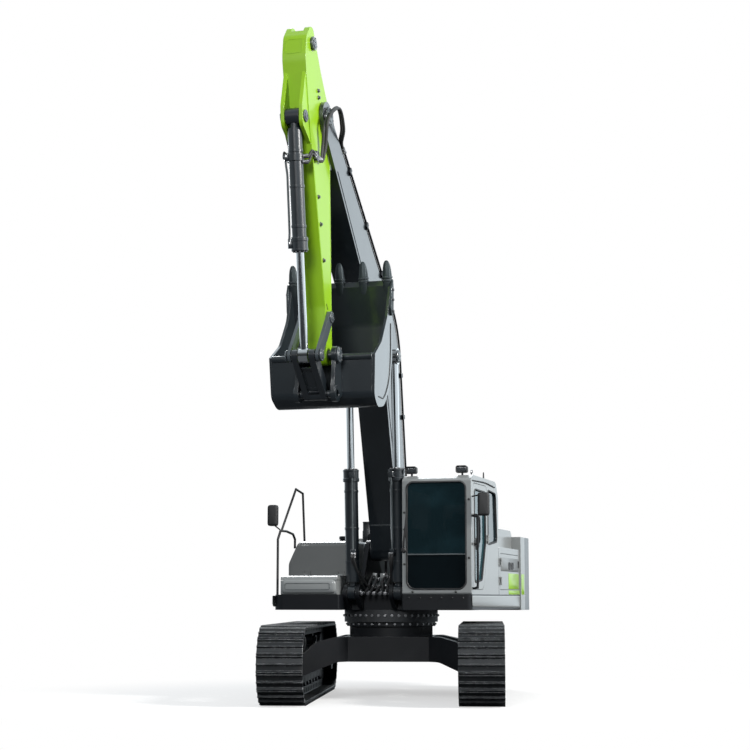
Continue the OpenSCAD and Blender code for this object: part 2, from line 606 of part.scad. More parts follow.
// One bent tube near a side plane: a ring of points on the mitre plane of each bend, joined by triangles
rail_sides = 12;
function way(path, i) = unit(path[i + 1] - path[i]);
function rail_ring(path, i, r) =
    let (last = len(path) - 2, a = way(path, max(i - 1, 0)), b = way(path, min(i, last)), t = unit(a + b), w = a - b,
         k = norm(w) < 0.001 ? 0 : (2 / norm(a + b) - 1) / (w * w), u = unit([1, 0, 0] - t[0] * t), v = cross(t, u))
    [for (j = [0 : rail_sides - 1])
        let (c = r * (cos(360 * j / rail_sides) * u + sin(360 * j / rail_sides) * v)) path[i] + c + k * (c * w) * w];
module bent_tube(points, r) {
    path = [for (p = points) [p[0], -p[1], p[2]]];
    n = rail_sides;
    last = len(path) - 1;
    polyhedron([for (i = [0 : last]) each rail_ring(path, i, r)],
        [[for (j = [0 : n - 1]) j], [for (j = [n - 1 : -1 : 0]) last * n + j],
         for (i = [0 : last - 1], j = [0 : n - 1]) let (k = (j + 1) % n) each
            [[i * n + j, (i + 1) * n + j, (i + 1) * n + k], [i * n + j, (i + 1) * n + k, i * n + k]]]);
}
module handrails() color(dark) {
    bent_tube(rail_points, rail_r);
    bent_tube(rail_loop, rail_r - 1);
}
mirror_arm = 10;
module mirrors() color(dark) {
    tube([rail_x - 4, rail_f - 5, rail_top + 14], [rail_x - 95, deck_front - 70, rail_top + 90], mirror_arm);
    block([rail_x - 155, deck_front - 80, rail_top + 70], [rail_x - 25, deck_front - 30, rail_top + 350]);
    tube([deck_half + 4.3, deck_front - 60, cab_top - 300], [deck_half + 190, deck_front + 20, cab_top - 270], mirror_arm);
    block([deck_half + 110, deck_front, cab_top - 560], [deck_half + 250, deck_front + 50, cab_top - 260]);
}
module work_lamps() color(dark) for (x = [cab_x + 90, deck_half - 160]) {
    translate([x, -deck_front + 190, cab_top]) cylinder(r = 14, h = 60);
    block([x - 60, deck_front - 220, cab_top + 40], [x + 60, deck_front - 130, cab_top + 120]);
}
module valve_block() color(slate) {
    block([-180, -300, deck_top], [180, 380, deck_top + 230]);
}

// Boom
module on_boom() translate([0, -foot_f, foot_z]) rotate([-boom_angle, 0, 0]) children();
foot_r = 165;
tip_r = 185;
kink_top = [2750, 1500];
kink_low = [2850, 610];
cyl_eye = [2700, 740];
arm_cyl_base = [3150, 1530];
arm_barrel_r = 100;
arm_ear = [arm_barrel_r + 5, arm_barrel_r + 50];
fork_half = arm_width / 2 + 12;
fork_depth = 690;
boom_rows = [[-foot_r, -foot_r, foot_r], [90, -foot_r, 60], [kink_low[0], kink_low[1], 900],
    [boom_length - 100, -tip_r, 120], [boom_length + tip_r, -tip_r, tip_r], [boom_length + tip_r, tip_r, tip_r],
    [boom_length - 200, tip_r + 30, 300], [kink_top[0], kink_top[1], 1100], [-foot_r, foot_r + 60, foot_r]];
eye_pin_r = 55;
arm_pin_r = 60;
module boom() on_boom() color(dark) difference() {
    union() {
        side(outline(boom_rows, 8), -boom_width / 2, boom_width / 2);
        shaft([0, 0], foot_r, -foot_plate[0] + 3, foot_plate[0] - 3);
        shaft(cyl_eye, 130, -cyl_x + 56, cyl_x - 56);
        // Ears of the arm cylinder
        pair() side(outline([[arm_cyl_base[0] - 330, 1260, 0], [arm_cyl_base[0] + 420, 1180, 0],
            [arm_cyl_base[0] + 130, arm_cyl_base[1] + 130, 130], [arm_cyl_base[0] - 130, arm_cyl_base[1] + 130, 130]]),
            arm_ear[0], arm_ear[1]);
    }
    side([[boom_length - fork_depth, -900], [boom_length + 900, -900], [boom_length + 900, 900], [boom_length - fork_depth, 900]],
        -fork_half, fork_half);
    shaft([0, 0], foot_pin_r + pin_gap, -400, 400);
    shaft([boom_length, 0], arm_pin_r + pin_gap, -400, 400);
    shaft(arm_cyl_base, base_pin_r + pin_gap, -400, 400);
}
module boom_pins() on_boom() color(steel) {
    shaft([boom_length, 0], arm_pin_r, -boom_width / 2 - 25, boom_width / 2 + 25);
    shaft(arm_cyl_base, base_pin_r, -arm_ear[1], arm_ear[1]);
}
line_r = 18;
line_x = 172;
// Places along the boom's two top lines: forward, height of the boom's skin
top_rise = (kink_top[1] - foot_r - 60) / (kink_top[0] + foot_r);
top_fall = (kink_top[1] - tip_r - 30) / (boom_length - 200 - kink_top[0]);
function top_skin(a) = a < kink_top[0] ? kink_top[1] - (kink_top[0] - a) * top_rise
    : kink_top[1] - (a - kink_top[0]) * top_fall;
line_up = 62;
line_a = [620, 1300, 2250, kink_top[0], 3260, 4600, 5780];
clamp_a = [900, 1600, 2150, 3750, 4600, 5500];
module boom_lines() on_boom() color(dark) pair() {
    side(concat([for (a = line_a) [a, top_skin(a) + line_up + line_r]],
        [for (i = [len(line_a) - 1 : -1 : 0]) [line_a[i], top_skin(line_a[i]) + line_up - line_r]]),
        line_x - line_r, line_x + line_r);
    for (a = clamp_a) side([[a - 40, top_skin(a - 40) + seam], [a + 40, top_skin(a + 40) + seam],
        [a + 40, top_skin(a + 40) + line_up], [a - 40, top_skin(a - 40) + line_up]], line_x - 30, line_x + 30);
}
module boom_lamp() on_boom() color(dark)
    block([boom_width / 2, cyl_eye[0] + 260, cyl_eye[1] + 60], [boom_width / 2 + 90, cyl_eye[0] + 330, cyl_eye[1] + 180]);

// Cylinders: a barrel with its base eye, and a rod with its end eye
function aim(a, b) = atan2(b[1] - a[1], b[0] - a[0]);
function turned(p, t) = [p[0] * cos(t) - p[1] * sin(t), p[0] * sin(t) + p[1] * cos(t)];
function boom_at(p) = [foot_f, foot_z] + turned(p, boom_angle);
function arm_at(p) = boom_at([boom_length, 0]) + turned(p, -arm_angle);
module aimed(a, b) translate([0, -a[0], a[1]]) rotate([-aim(a, b), 0, 0]) children();
// Cylinder along forward from 0, eyes across X
module rod_solid(r, from, to) translate([0, -from, 0]) rotate([90, 0, 0]) cylinder(r = r, h = to - from);
module barrel(r, length, eye_r, eye_half, pin_r, bore_r) color(dark) difference() {
    union() {
        shaft([0, 0], eye_r, -eye_half, eye_half);
        rod_solid(min(r * 0.72, eye_half - 2), eye_r * 0.5, eye_r + 60);
        rod_solid(r, eye_r + 40, length - 150);
        rod_solid(r + 14, length - 170, length);
    }
    shaft([0, 0], pin_r + pin_gap, -eye_half - 1, eye_half + 1);
    rod_solid(bore_r + pin_gap, eye_r + 70, length + 1);
}
module rod(r, from, to, eye_r, eye_half) color(steel) {
    rod_solid(r, from, to - eye_r * 0.5);
    shaft([to, 0], eye_r, -eye_half, eye_half);
}
boom_eye_abs = boom_at(cyl_eye);
boom_cyl_len = norm(boom_eye_abs - cyl_base);
boom_barrel_len = 1700;
module boom_cylinder_barrels() pair() translate([cyl_x, 0, 0]) aimed(cyl_base, boom_eye_abs)
    barrel(95, boom_barrel_len, 108, 52, base_pin_r, 52);
module boom_cylinder_rods() pair() translate([cyl_x, 0, 0]) aimed(cyl_base, boom_eye_abs)
    rod(52, boom_barrel_len - 80, boom_cyl_len, 115, 54);

arm_cyl_from = boom_at(arm_cyl_base);
arm_eye = [-850, 370];
arm_cyl_to = arm_at(arm_eye);
arm_cyl_len = norm(arm_cyl_to - arm_cyl_from);
arm_barrel_len = 2450;
module arm_cylinder_barrel() aimed(arm_cyl_from, arm_cyl_to) barrel(arm_barrel_r, arm_barrel_len, 115, arm_ear[0] - 5, base_pin_r, 58);
module arm_cylinder_rod() aimed(arm_cyl_from, arm_cyl_to) rod(58, arm_barrel_len - 90, arm_cyl_len, 112, 70);

// Arm, drawn along its pin line from the boom's pin
module on_arm() translate([0, -boom_at([boom_length, 0])[0], boom_at([boom_length, 0])[1]]) rotate([arm_angle, 0, 0]) children();
link_pin = [arm_length - 470, 20];
bucket_cyl_base = [110, 690];
link_eye = [arm_length + 23.6, 516.34];
bucket_eye = [arm_length + 484.62, 72.43];
link_pin_r = 48;
tip_boss_r = 130;
// Outline of the arm from its rear end, along its rear edge to the bucket and back along its front
arm_rows = [[-1050, 310, 70], [-560, 40, 300], [-180, -225, 300], [60, -265, 200], [600, -250, 600],
    [arm_length + tip_boss_r, -tip_boss_r, 110], [arm_length + tip_boss_r, 100, 95], [arm_length - 600, 110, 300],
    [700, 440, 500], [150, 545, 200], [-640, 650, 420], [-900, 590, 150], [-1060, 420, 90]];
prong_half = 80;
prong_depth = 540;
prong_front = arm_eye[1] + 120;
bucket_barrel_r = 88;
rod_ear = [bucket_barrel_r + 7, bucket_barrel_r + 52];
module arm() on_arm() color(lime) difference() {
    union() {
        side(outline(arm_rows, 8), -arm_width / 2, arm_width / 2);
        shaft([0, 0], 150, -fork_half + 5, fork_half - 5);
        // Ears of the bucket cylinder, run out along the arm as ribs
        pair() side(outline([[-520, 600, 0], [bucket_cyl_base[0] + 330, 460, 0],
            [bucket_cyl_base[0] + 115, bucket_cyl_base[1] + 100, 110],
            [bucket_cyl_base[0] - 130, bucket_cyl_base[1] + 100, 110]]), rod_ear[0], rod_ear[1]);
    }
    // Slot for the arm cylinder's rod, open at the rear
    side([[-2000, -900], [arm_eye[0] + prong_depth, -900], [arm_eye[0] + prong_depth, prong_front], [-2000, prong_front]],
        -prong_half, prong_half);
    shaft([0, 0], arm_pin_r + pin_gap, -400, 400);
    shaft([arm_length, 0], arm_pin_r + pin_gap, -400, 400);
    shaft(link_pin, link_pin_r + pin_gap, -400, 400);
    shaft(bucket_cyl_base, base_pin_r + pin_gap, -400, 400);
}
link_rows = [arm_width / 2 + 10, arm_width / 2 + 50];
bucket_ear = [arm_width / 2 + 60, arm_width / 2 + 110];
module arm_pins() on_arm() color(dark) {
    shaft([arm_length, 0], arm_pin_r, -bucket_ear[1] - 20, bucket_ear[1] + 20);
    shaft(link_pin, link_pin_r, -link_rows[1], link_rows[1]);
    shaft(bucket_cyl_base, base_pin_r, -rod_ear[1], rod_ear[1]);
    pair() shaft(arm_eye, 80, arm_width / 2, arm_width / 2 + 20);
}
bucket_cyl_len = norm(link_eye - bucket_cyl_base);
bucket_barrel_len = 1640;
module bucket_cylinder_barrel() on_arm() aimed(bucket_cyl_base, link_eye)
    barrel(bucket_barrel_r, bucket_barrel_len, 105, rod_ear[0] - 8, base_pin_r, 50);
module bucket_cylinder_rod() on_arm() aimed(bucket_cyl_base, link_eye)
    rod(50, bucket_barrel_len - 80, bucket_cyl_len, 90, 60);

// Links that turn the bucket
module bar(a, b, r, from, to) {
    t = aim(a, b);
    n = [-sin(t), cos(t)] * r;
    side([a - n, b - n, b + n, a + n], from, to);
    for (p = [a, b]) shaft(p, r, from, to);
}
module idler_links() on_arm() color(dark) pair() difference() {
    bar(link_pin, link_eye, 78, link_rows[0], link_rows[1]);
    shaft(link_pin, link_pin_r + pin_gap, 0, 400);
    shaft(link_eye, link_pin_r + pin_gap, 0, 400);
}
power_half = 148;
module power_link() on_arm() color(dark) {
    pair() bar(link_eye, bucket_eye, 80, 72, power_half);
    shaft(link_eye, link_pin_r, -link_rows[1] - 14, -power_half + 1);
    shaft(link_eye, link_pin_r, power_half - 1, link_rows[1] + 14);
    shaft(bucket_eye, 78, -power_half, power_half);
    shaft(bucket_eye, link_pin_r, -bucket_ear[0] + 3, bucket_ear[0] - 3);
}

// Bucket, drawn about its hinge pin: forward is from the hinge pin to the tooth tips
tooth_dir = -141.1;
module on_bucket() on_arm() translate([0, -arm_length, 0]) rotate([-tooth_dir, 0, 0]) children();
function bucket_local(p) = turned(p - [arm_length, 0], -tooth_dir);
shell_t = 40;
side_t = 35;
half = bucket_width / 2;
link_at = bucket_local(bucket_eye);
lip = [tooth_radius - 185, 184];
back = [[1060, 610, 500], [700, 900, 400], [330, 1040, 350], [-60, 950, 350], [-300, 680, 250], [-300, 445, 120]];
rim = [110, 131];
shell_out = concat([[lip[0], lip[1], 0]], back, [[rim[0], rim[1], 0]]);
// The shell's inner side, shell_t in from its outer side
function inset(rows, t) = let (k = len(rows)) [for (i = [0 : k - 1])
    let (p = [rows[i][0], rows[i][1]], q = [rows[min(i + 1, k - 1)][0], rows[min(i + 1, k - 1)][1]],
        o = [rows[max(i - 1, 0)][0], rows[max(i - 1, 0)][1]], d = unit(q - o), n = [d[1], -d[0]])
    [p[0] + n[0] * t, p[1] + n[1] * t, max(0, rows[i][2] - t)]];
shell_in = inset(shell_out, -shell_t);
function flipped(rows) = [for (i = [len(rows) - 1 : -1 : 0]) rows[i]];
mouth = [[470, 300, 260], [930, 330, 400]];
ear_outer = 112;
// The room between the bucket's sides, d in from their outer faces; it narrows towards the back
side_lean = 50 / 856;
module between_sides(d) {
    w = function(z) half - d - (z - lip[1]) * side_lean;
    translate([0, 4000, 0]) rotate([90, 0, 0]) linear_extrude(8000)
        polygon([[-w(-600), -600], [w(-600), -600], [w(1600), 1600], [-w(1600), 1600]]);
}
module bucket_form() side(outline(concat(shell_out, mouth), 8), -half - 100, half + 100);
// The curved wrapper plate
module wrapper() intersection() {
    difference() {
        bucket_form();
        side(outline(concat([[lip[0] + 60, -500, 0]], shell_in, [[rim[0] - 60, -500, 0]]), 8), -half - 200, half + 200);
    }
    between_sides(side_t + seam);
}
module bucket() on_bucket() color(dark) wrapper();
module side_plates() difference() {
    intersection() {
        bucket_form();
        between_sides(0);
    }
    between_sides(side_t);
}
module bucket_sides() on_bucket() color(dark) side_plates();
// Plates bolted to the sides by the lip
cutter_t = 25;
module cutter_plates() difference() {
    intersection() {
        side(outline([[lip[0] + 30, lip[1] - 30, 20], [lip[0] - 60, lip[1] + 100, 30], [lip[0] - 330, lip[1] + 330, 60],
            [lip[0] - 400, lip[1] + 250, 60], [lip[0] - 360, lip[1] + 150, 80], [lip[0] - 150, lip[1] + 10, 60]]),
            -half - 200, half + 200);
        between_sides(-cutter_t);
    }
    between_sides(-seam);
}
module bucket_cutters() on_bucket() color(slate) cutter_plates();
// Ears for the hinge pin and the link
module bucket_ears() on_bucket() color(dark) difference() {
    pair() {
        side(outline([[-110, -20, 60], [60, -90, 90], [rim[0] + 2, rim[1] + 20, 0], [-280, 452, 0],
            [-480, 330, 60], [link_at[0] - 90, link_at[1] - 70, 90]]), bucket_ear[0], bucket_ear[1]);
        shaft([0, 0], ear_outer, bucket_ear[0], bucket_ear[1] + 15);
        shaft(link_at, ear_outer - 10, bucket_ear[0], bucket_ear[1] + 15);
    }
    wrapper();
    shaft([0, 0], arm_pin_r + pin_gap, -500, 500);
    shaft(link_at, link_pin_r + pin_gap, -500, 500);
}
// Teeth: a holder that grips the lip, and a point that narrows to its edge
tooth_pitch = (bucket_width - 110) / 4;
tooth_half = [62, 52, 24];
module bucket_teeth() on_bucket() color(slate) difference() {
    for (i = [-2 : 2]) translate([i * tooth_pitch, 0, 0]) intersection() {
        side([[lip[0] - 150, lip[1] + 115], [lip[0] + 10, lip[1] - 62], [tooth_radius - 12, -10], [tooth_radius, 0],
            [tooth_radius - 4, 16], [lip[0] + 70, lip[1] + 58], [lip[0] - 90, lip[1] + 180]], -80, 80);
        translate([0, 0, -600]) linear_extrude(1600) polygon([for (s = [1, -1], k = [0 : 3])
            let (j = s > 0 ? k : 3 - k) [s * tooth_half[max(0, j - 1)],
                -[lip[0] - 200, lip[0] + 30, lip[0] + 50, tooth_radius][j]]]);
    }
    wrapper();
    side_plates();
    cutter_plates();
}

carbody();
track_frame_left();
track_frame_right();
track_left();
track_right();
idlers();
sprockets();
bottom_rollers();
carrier_rollers();
swing_ring();
deck();
counterweight();
cab_frame();
cab_glass();
cab_door();
door_glass();
seat();
cab_controls();
engine_hood();
engine();
radiator_body();
radiator_door();
pump_body();
pump_door();
fuel_tank();
tool_box();
tool_box_lid();
exhaust();
handrails();
mirrors();
work_lamps();
valve_block();
upper_pins();
boom();
boom_pins();
boom_lines();
boom_lamp();
boom_cylinder_barrels();
boom_cylinder_rods();
arm_cylinder_barrel();
arm_cylinder_rod();
arm();
arm_pins();
bucket_cylinder_barrel();
bucket_cylinder_rod();
idler_links();
power_link();
bucket();
bucket_sides();
bucket_ears();
bucket_cutters();
bucket_teeth();
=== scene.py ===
"""Crawler excavator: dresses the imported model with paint, hoses, pipes, bolts, seals and cab trim.

Row frame: +Z up, -Y to the front of the upper structure, +X to the cab, metres.
"""
import math

import bmesh
import bpy
import numpy as np
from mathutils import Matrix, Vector


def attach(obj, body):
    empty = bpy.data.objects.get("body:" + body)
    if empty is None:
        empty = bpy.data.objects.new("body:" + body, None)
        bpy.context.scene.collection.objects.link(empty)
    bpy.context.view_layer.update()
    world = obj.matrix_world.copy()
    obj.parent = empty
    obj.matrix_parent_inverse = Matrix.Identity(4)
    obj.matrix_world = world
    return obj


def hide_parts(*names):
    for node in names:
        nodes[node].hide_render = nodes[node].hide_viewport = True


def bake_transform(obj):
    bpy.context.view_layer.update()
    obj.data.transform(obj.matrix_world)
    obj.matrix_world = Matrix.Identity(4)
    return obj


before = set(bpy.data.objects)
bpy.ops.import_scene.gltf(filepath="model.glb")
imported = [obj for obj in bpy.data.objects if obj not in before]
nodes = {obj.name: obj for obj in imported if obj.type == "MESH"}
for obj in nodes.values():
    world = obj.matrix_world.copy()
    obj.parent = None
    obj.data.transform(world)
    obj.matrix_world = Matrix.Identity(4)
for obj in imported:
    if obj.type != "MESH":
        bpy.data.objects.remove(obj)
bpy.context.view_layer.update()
tau = 2 * math.pi
SIDES = ((-1, "right"), (1, "left"))
UP = (0, 0, 1)
SHARP = math.radians(38)


# Surfaces

def mesh_piece(name, points, faces, material, body, smooth=True, normals=False):
    """An object from points (n, 3) and faces, at the origin, riding on a body if one is named."""
    mesh = bpy.data.meshes.new(name)
    mesh.from_pydata(np.asarray(points, float).tolist(), [], [list(f) for f in faces])
    if normals:
        work = bmesh.new()
        work.from_mesh(mesh)
        bmesh.ops.remove_doubles(work, verts=work.verts, dist=1e-5)
        bmesh.ops.recalc_face_normals(work, faces=work.faces)
        work.to_mesh(mesh)
        work.free()
    mesh.polygons.foreach_set("use_smooth", np.full(len(mesh.polygons), smooth))
    piece = bpy.data.objects.new(name, mesh)
    bpy.context.scene.collection.objects.link(piece)
    mesh.materials.append(material)
    if smooth:
        mesh.set_sharp_from_angle(angle=SHARP)
    if body:
        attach(piece, body)
    return piece


def grid_faces(rows, cols, wrap_cols=False):
    """Quads of a grid whose point (i, j) is number i * cols + j."""
    i, j = combined(np.arange(rows - 1), np.arange(cols if wrap_cols else cols - 1))
    j2 = (j + 1) % cols
    return np.stack([i * cols + j, i * cols + j2, (i + 1) * cols + j2, (i + 1) * cols + j], 1)


def closed_faces(rows, cols):
    """Faces of a tube of rows rings with cols points each, both ends closed."""
    ends = [list(range(cols))[::-1], [(rows - 1) * cols + k for k in range(cols)]]
    return grid_faces(rows, cols, wrap_cols=True).tolist() + ends


def combined(*lists):
    """All combinations of the lists' values, as flat columns."""
    return [a.ravel() for a in np.meshgrid(*lists, indexing="ij")]


def columns(*parts):
    """Points from their columns; a bare number fills its column."""
    return np.stack(np.broadcast_arrays(*parts), -1).astype(float)


def along(path, step):
    """Points every step metres on a smooth Catmull-Rom curve through the path's points."""
    p = np.asarray(path, float)
    p = np.vstack([2 * p[0] - p[1], p, 2 * p[-1] - p[-2]])
    out = []
    for a, b, c, d in zip(p[:-3], p[1:-2], p[2:-1], p[3:]):
        n = max(2, int(np.linalg.norm(c - b) / step))
        t = np.linspace(0, 1, n, endpoint=False)[:, None]
        bend = (2 * a - 5 * b + 4 * c - d) * t**2 + (3 * b - a - 3 * c + d) * t**3
        out.append(0.5 * (2 * b + (c - a) * t + bend))
    return np.vstack(out + [p[-2:-1]])


def tube_arrays(path, radius, sides=10):
    """Points and faces of a round tube: circles about the path, in frames carried along it without twist."""
    p = np.asarray(path, float)
    d = np.gradient(p, axis=0)
    d /= np.linalg.norm(d, axis=1)[:, None]
    n = np.zeros_like(d)
    n[0] = np.cross(d[0], [0, 0, 1] if abs(d[0, 2]) < 0.9 else [1, 0, 0])
    for k in range(1, len(p)):
        n[k] = n[k - 1] - d[k] * (n[k - 1] @ d[k])
    n /= np.linalg.norm(n, axis=1)[:, None]
    b = np.cross(d, n)
    a = np.linspace(0, tau, sides, endpoint=False)
    r = np.broadcast_to(radius, (len(p),))[:, None, None]
    ring = p[:, None] + r * (np.cos(a)[None, :, None] * n[:, None] + np.sin(a)[None, :, None] * b[:, None])
    return ring.reshape(-1, 3), closed_faces(len(p), sides)


def joined(parts):
    """Several (points, faces) sets as one."""
    points, faces, base = [], [], 0
    for p, f in parts:
        points.append(np.asarray(p, float))
        faces += [[base + k for k in face] for face in f]
        base += len(p)
    return np.vstack(points), faces


def merged(name, parts, material, body, **more):
    """Several (points, faces) sets as one piece."""
    return mesh_piece(name, *joined(parts), material, body, **more)


def tubes(name, paths, radius, material, body, sides=10, step=0.04):
    """Round tubes on smooth curves through the given points."""
    return merged(name, [tube_arrays(along(p, step), radius, sides) for p in paths], material, body)


def turned_arrays(profile, origin, axis, sides=32):
    """Points and faces of a profile of (radius, height) rows turned about an axis through origin."""
    axis = np.asarray(axis, float) / np.linalg.norm(axis)
    u = np.cross(axis, [0, 0, 1] if abs(axis[2]) < 0.9 else [1, 0, 0])
    u /= np.linalg.norm(u)
    v = np.cross(axis, u)
    a = np.linspace(0, tau, sides, endpoint=False)
    r, h = np.asarray(profile, float).T
    p = (np.asarray(origin, float) + h[:, None, None] * axis
         + r[:, None, None] * (np.cos(a)[None, :, None] * u + np.sin(a)[None, :, None] * v))
    return p.reshape(-1, 3), closed_faces(len(r), sides)


def turned(name, profile, origin, axis, sides, material, body):
    """A turned profile as one piece."""
    return mesh_piece(name, *turned_arrays(profile, origin, axis, sides), material, body)


def copies(shape, places):
    """One (points, faces) shape at many places, each an origin and three axes: p = o + x*X + y*Y + z*Z."""
    points, faces = np.asarray(shape[0], float), shape[1]
    o, x, y, z = (np.asarray(a, float) for a in places)
    out = (o[:, None] + points[None, :, :1] * x[:, None] + points[None, :, 1:2] * y[:, None]
           + points[None, :, 2:] * z[:, None])
    base = np.arange(len(o)) * len(points)
    return out.reshape(-1, 3), [[b + k for k in f] for b in base for f in faces]


def axes_for(normals):
    """Two side axes for each normal."""
    z = np.asarray(normals, float)
    z = z / np.linalg.norm(z, axis=1)[:, None]
    up = np.where(np.abs(z[:, 2:]) < 0.9, [[0, 0, 1.0]], [[1.0, 0, 0]])
    x = np.cross(up, z)
    x /= np.linalg.norm(x, axis=1)[:, None]
    return x, np.cross(z, x), z


def hex_head(r, h):
    """A bolt head on a washer: washer ring, hexagon, and a chamfered crown."""
    a = np.arange(6) * tau / 6
    ring = np.stack([np.cos(a), np.sin(a)], 1)
    rows = [(1.28, 0), (1.28, 0.22), (1.0, 0.22), (1.0, 0.85), (0.8, 1.0)]
    p = np.vstack([np.column_stack([ring * r * k, np.full(6, t * h)]) for k, t in rows])
    return p, grid_faces(5, 6, wrap_cols=True).tolist() + [[24 + k for k in range(6)]]


def bolts(name, at, normal, r, material, body, h=None):
    """Bolt heads at points, standing along a normal or along one normal each."""
    at = np.asarray(at, float)
    n = np.broadcast_to(np.asarray(normal, float), at.shape)
    shape = copies(hex_head(r, h or r * 1.1), (at, *axes_for(n)))
    return mesh_piece(name, *shape, material, body, smooth=False)


def rounded_loop(width, height, radius, steps=6):
    """A rounded rectangle about the origin as points (n, 2), counter-clockwise."""
    a = np.concatenate([np.linspace(q, q + 1, steps + 1) for q in range(4)]) * tau / 4
    cx = (width / 2 - radius) * np.repeat([1, -1, -1, 1], steps + 1)
    cy = (height / 2 - radius) * np.repeat([1, 1, -1, -1], steps + 1)
    return np.stack([cx + radius * np.cos(a), cy + radius * np.sin(a)], 1)


def fillet(rows, steps=6):
    """An outline with round corners from (x, y, radius) rows."""
    rows = np.asarray(rows, float)
    out = []
    for k in range(len(rows)):
        a, b, c = rows[k - 1, :2], rows[k, :2], rows[(k + 1) % len(rows), :2]
        r = rows[k, 2]
        u, v = (a - b) / np.linalg.norm(a - b), (c - b) / np.linalg.norm(c - b)
        turn = math.acos(max(-1, min(1, float(u @ v))))
        if r <= 0 or turn > 3.1:
            out.append(b[None])
            continue
        m = (u + v) / np.linalg.norm(u + v)
        o = b + m * r / math.sin(turn / 2)
        p, q = b + u * r / math.tan(turn / 2) - o, b + v * r / math.tan(turn / 2) - o
        t = np.linspace(0, 1, steps + 1)[:, None]
        w = p * (1 - t) + q * t
        out.append(o + r * w / np.linalg.norm(w, axis=1)[:, None])
    return np.vstack(out)


def inward(loop, d):
    """A closed outline moved in by d along the mean normal of each point's two sides."""
    e = np.roll(loop, -1, 0) - loop
    e /= np.maximum(np.linalg.norm(e, axis=1), 1e-9)[:, None]
    n = np.stack([-e[:, 1], e[:, 0]], 1)
    m = n + np.roll(n, 1, 0)
    m /= np.maximum((m * m).sum(1), 0.3)[:, None] / 2
    return loop + d * m


def panel_arrays(loop, rows, place=np.asarray, cap=True):
    """A slab: the outline repeated at (inset, height) rows, from its foot up to its face, the face closed."""
    n = len(loop)
    rings = np.stack([np.column_stack([inward(loop, d), np.full(n, h)]) for d, h in rows])
    faces = grid_faces(len(rows), n, wrap_cols=True).tolist()
    if cap:
        faces.append([(len(rows) - 1) * n + k for k in range(n)])
    return place(rings.reshape(-1, 3)), faces


def panel(name, loop, rows, place, material, body, cap=True):
    """A slab with a profiled edge, as one piece."""
    return mesh_piece(name, *panel_arrays(loop, rows, place, cap), material, body)


def flat(origin, x, y):
    """Places (x, y, height) points on a plane given by an origin and two axes."""
    o, x, y = (np.asarray(a, float) for a in (origin, x, y))
    z = np.cross(x, y)
    return lambda p: o + p[:, :1] * x + p[:, 1:2] * y + p[:, 2:] * z


def block_arrays(low, high, r):
    """A box with round edges: each point of a sphere grid pushed out by the box's half size less r."""
    low, high = np.asarray(low, float), np.asarray(high, float)
    rows, cols = 9, 12
    a = (np.arange(cols) + 0.5) * tau / cols
    e = np.linspace(-math.pi / 2, math.pi / 2, rows)[:, None]
    e = e + 1e-4 * np.sign(e)
    d = columns(np.cos(e) * np.cos(a), np.cos(e) * np.sin(a), np.sin(e))
    p = (low + high) / 2 + np.sign(np.round(d, 6)) * ((high - low) / 2 - r) + d * r
    return p.reshape(-1, 3), closed_faces(rows, cols)


# Places on the machine: sizes in metres, as in the part

FOOT, BOOM_LEN, BOOM_ANGLE = (0.100, 2.080), 6.440, math.radians(55.5)
ARM_LEN, ARM_ANGLE = 3.000, math.radians(-95.5)
SWING = math.radians(12)
GAUGE = 2.590


def side_place(origin, angle):
    """Places (x, forward, up) points of a part that is turned by angle in the side view."""
    c, s = math.cos(angle), math.sin(angle)

    def place(p):
        p = np.asarray(p, float)
        f = origin[0] + p[..., 1] * c - p[..., 2] * s
        z = origin[1] + p[..., 1] * s + p[..., 2] * c
        return np.stack([p[..., 0], -f, z], -1)
    return place


on_upper = side_place((0, 0), 0)
on_boom = side_place(FOOT, BOOM_ANGLE)
TIP = (FOOT[0] + BOOM_LEN * math.cos(BOOM_ANGLE), FOOT[1] + BOOM_LEN * math.sin(BOOM_ANGLE))
on_arm = side_place(TIP, ARM_ANGLE)
HINGE = (TIP[0] + ARM_LEN * math.cos(ARM_ANGLE), TIP[1] + ARM_LEN * math.sin(ARM_ANGLE))
on_bucket = side_place(HINGE, ARM_ANGLE + math.radians(-141.1))


def on_track(side):
    """Places (x, forward, up) points of a track, turned with the undercarriage."""
    c, s = math.cos(SWING), math.sin(SWING)

    def place(p):
        p = np.asarray(p, float)
        x, y = p[..., 0] + side * GAUGE / 2, -p[..., 1]
        return np.stack([c * x - s * y, s * x + c * y, p[..., 2]], -1)
    return place


def dirs(place, d):
    """A direction turned by a place."""
    return place(np.asarray(d, float)) - place(np.zeros(3))


# Shaders

class Value:
    """A shader socket that takes part in Python arithmetic."""

    def __init__(self, shade, socket):
        self.shade, self.socket = shade, socket

    def _math(self, operation, a, b):
        return self.shade.node("ShaderNodeMath", {"operation": operation}, [a, b])

    def __add__(self, o): return self._math("ADD", self, o)
    def __radd__(self, o): return self._math("ADD", o, self)
    def __sub__(self, o): return self._math("SUBTRACT", self, o)
    def __rsub__(self, o): return self._math("SUBTRACT", o, self)
    def __mul__(self, o): return self._math("MULTIPLY", self, o)

    def clamp(self): return self._math("MINIMUM", self._math("MAXIMUM", self, 0), 1)

    def step(self, low, high):
        """0 below low, 1 above high, smooth between."""
        return self.shade.node("ShaderNodeMapRange", {"interpolation_type": "SMOOTHSTEP"},
                               {"Value": self, "From Min": low, "From Max": high})

    def part(self, axis):
        return self.shade.node("ShaderNodeSeparateXYZ", {}, [self], axis)


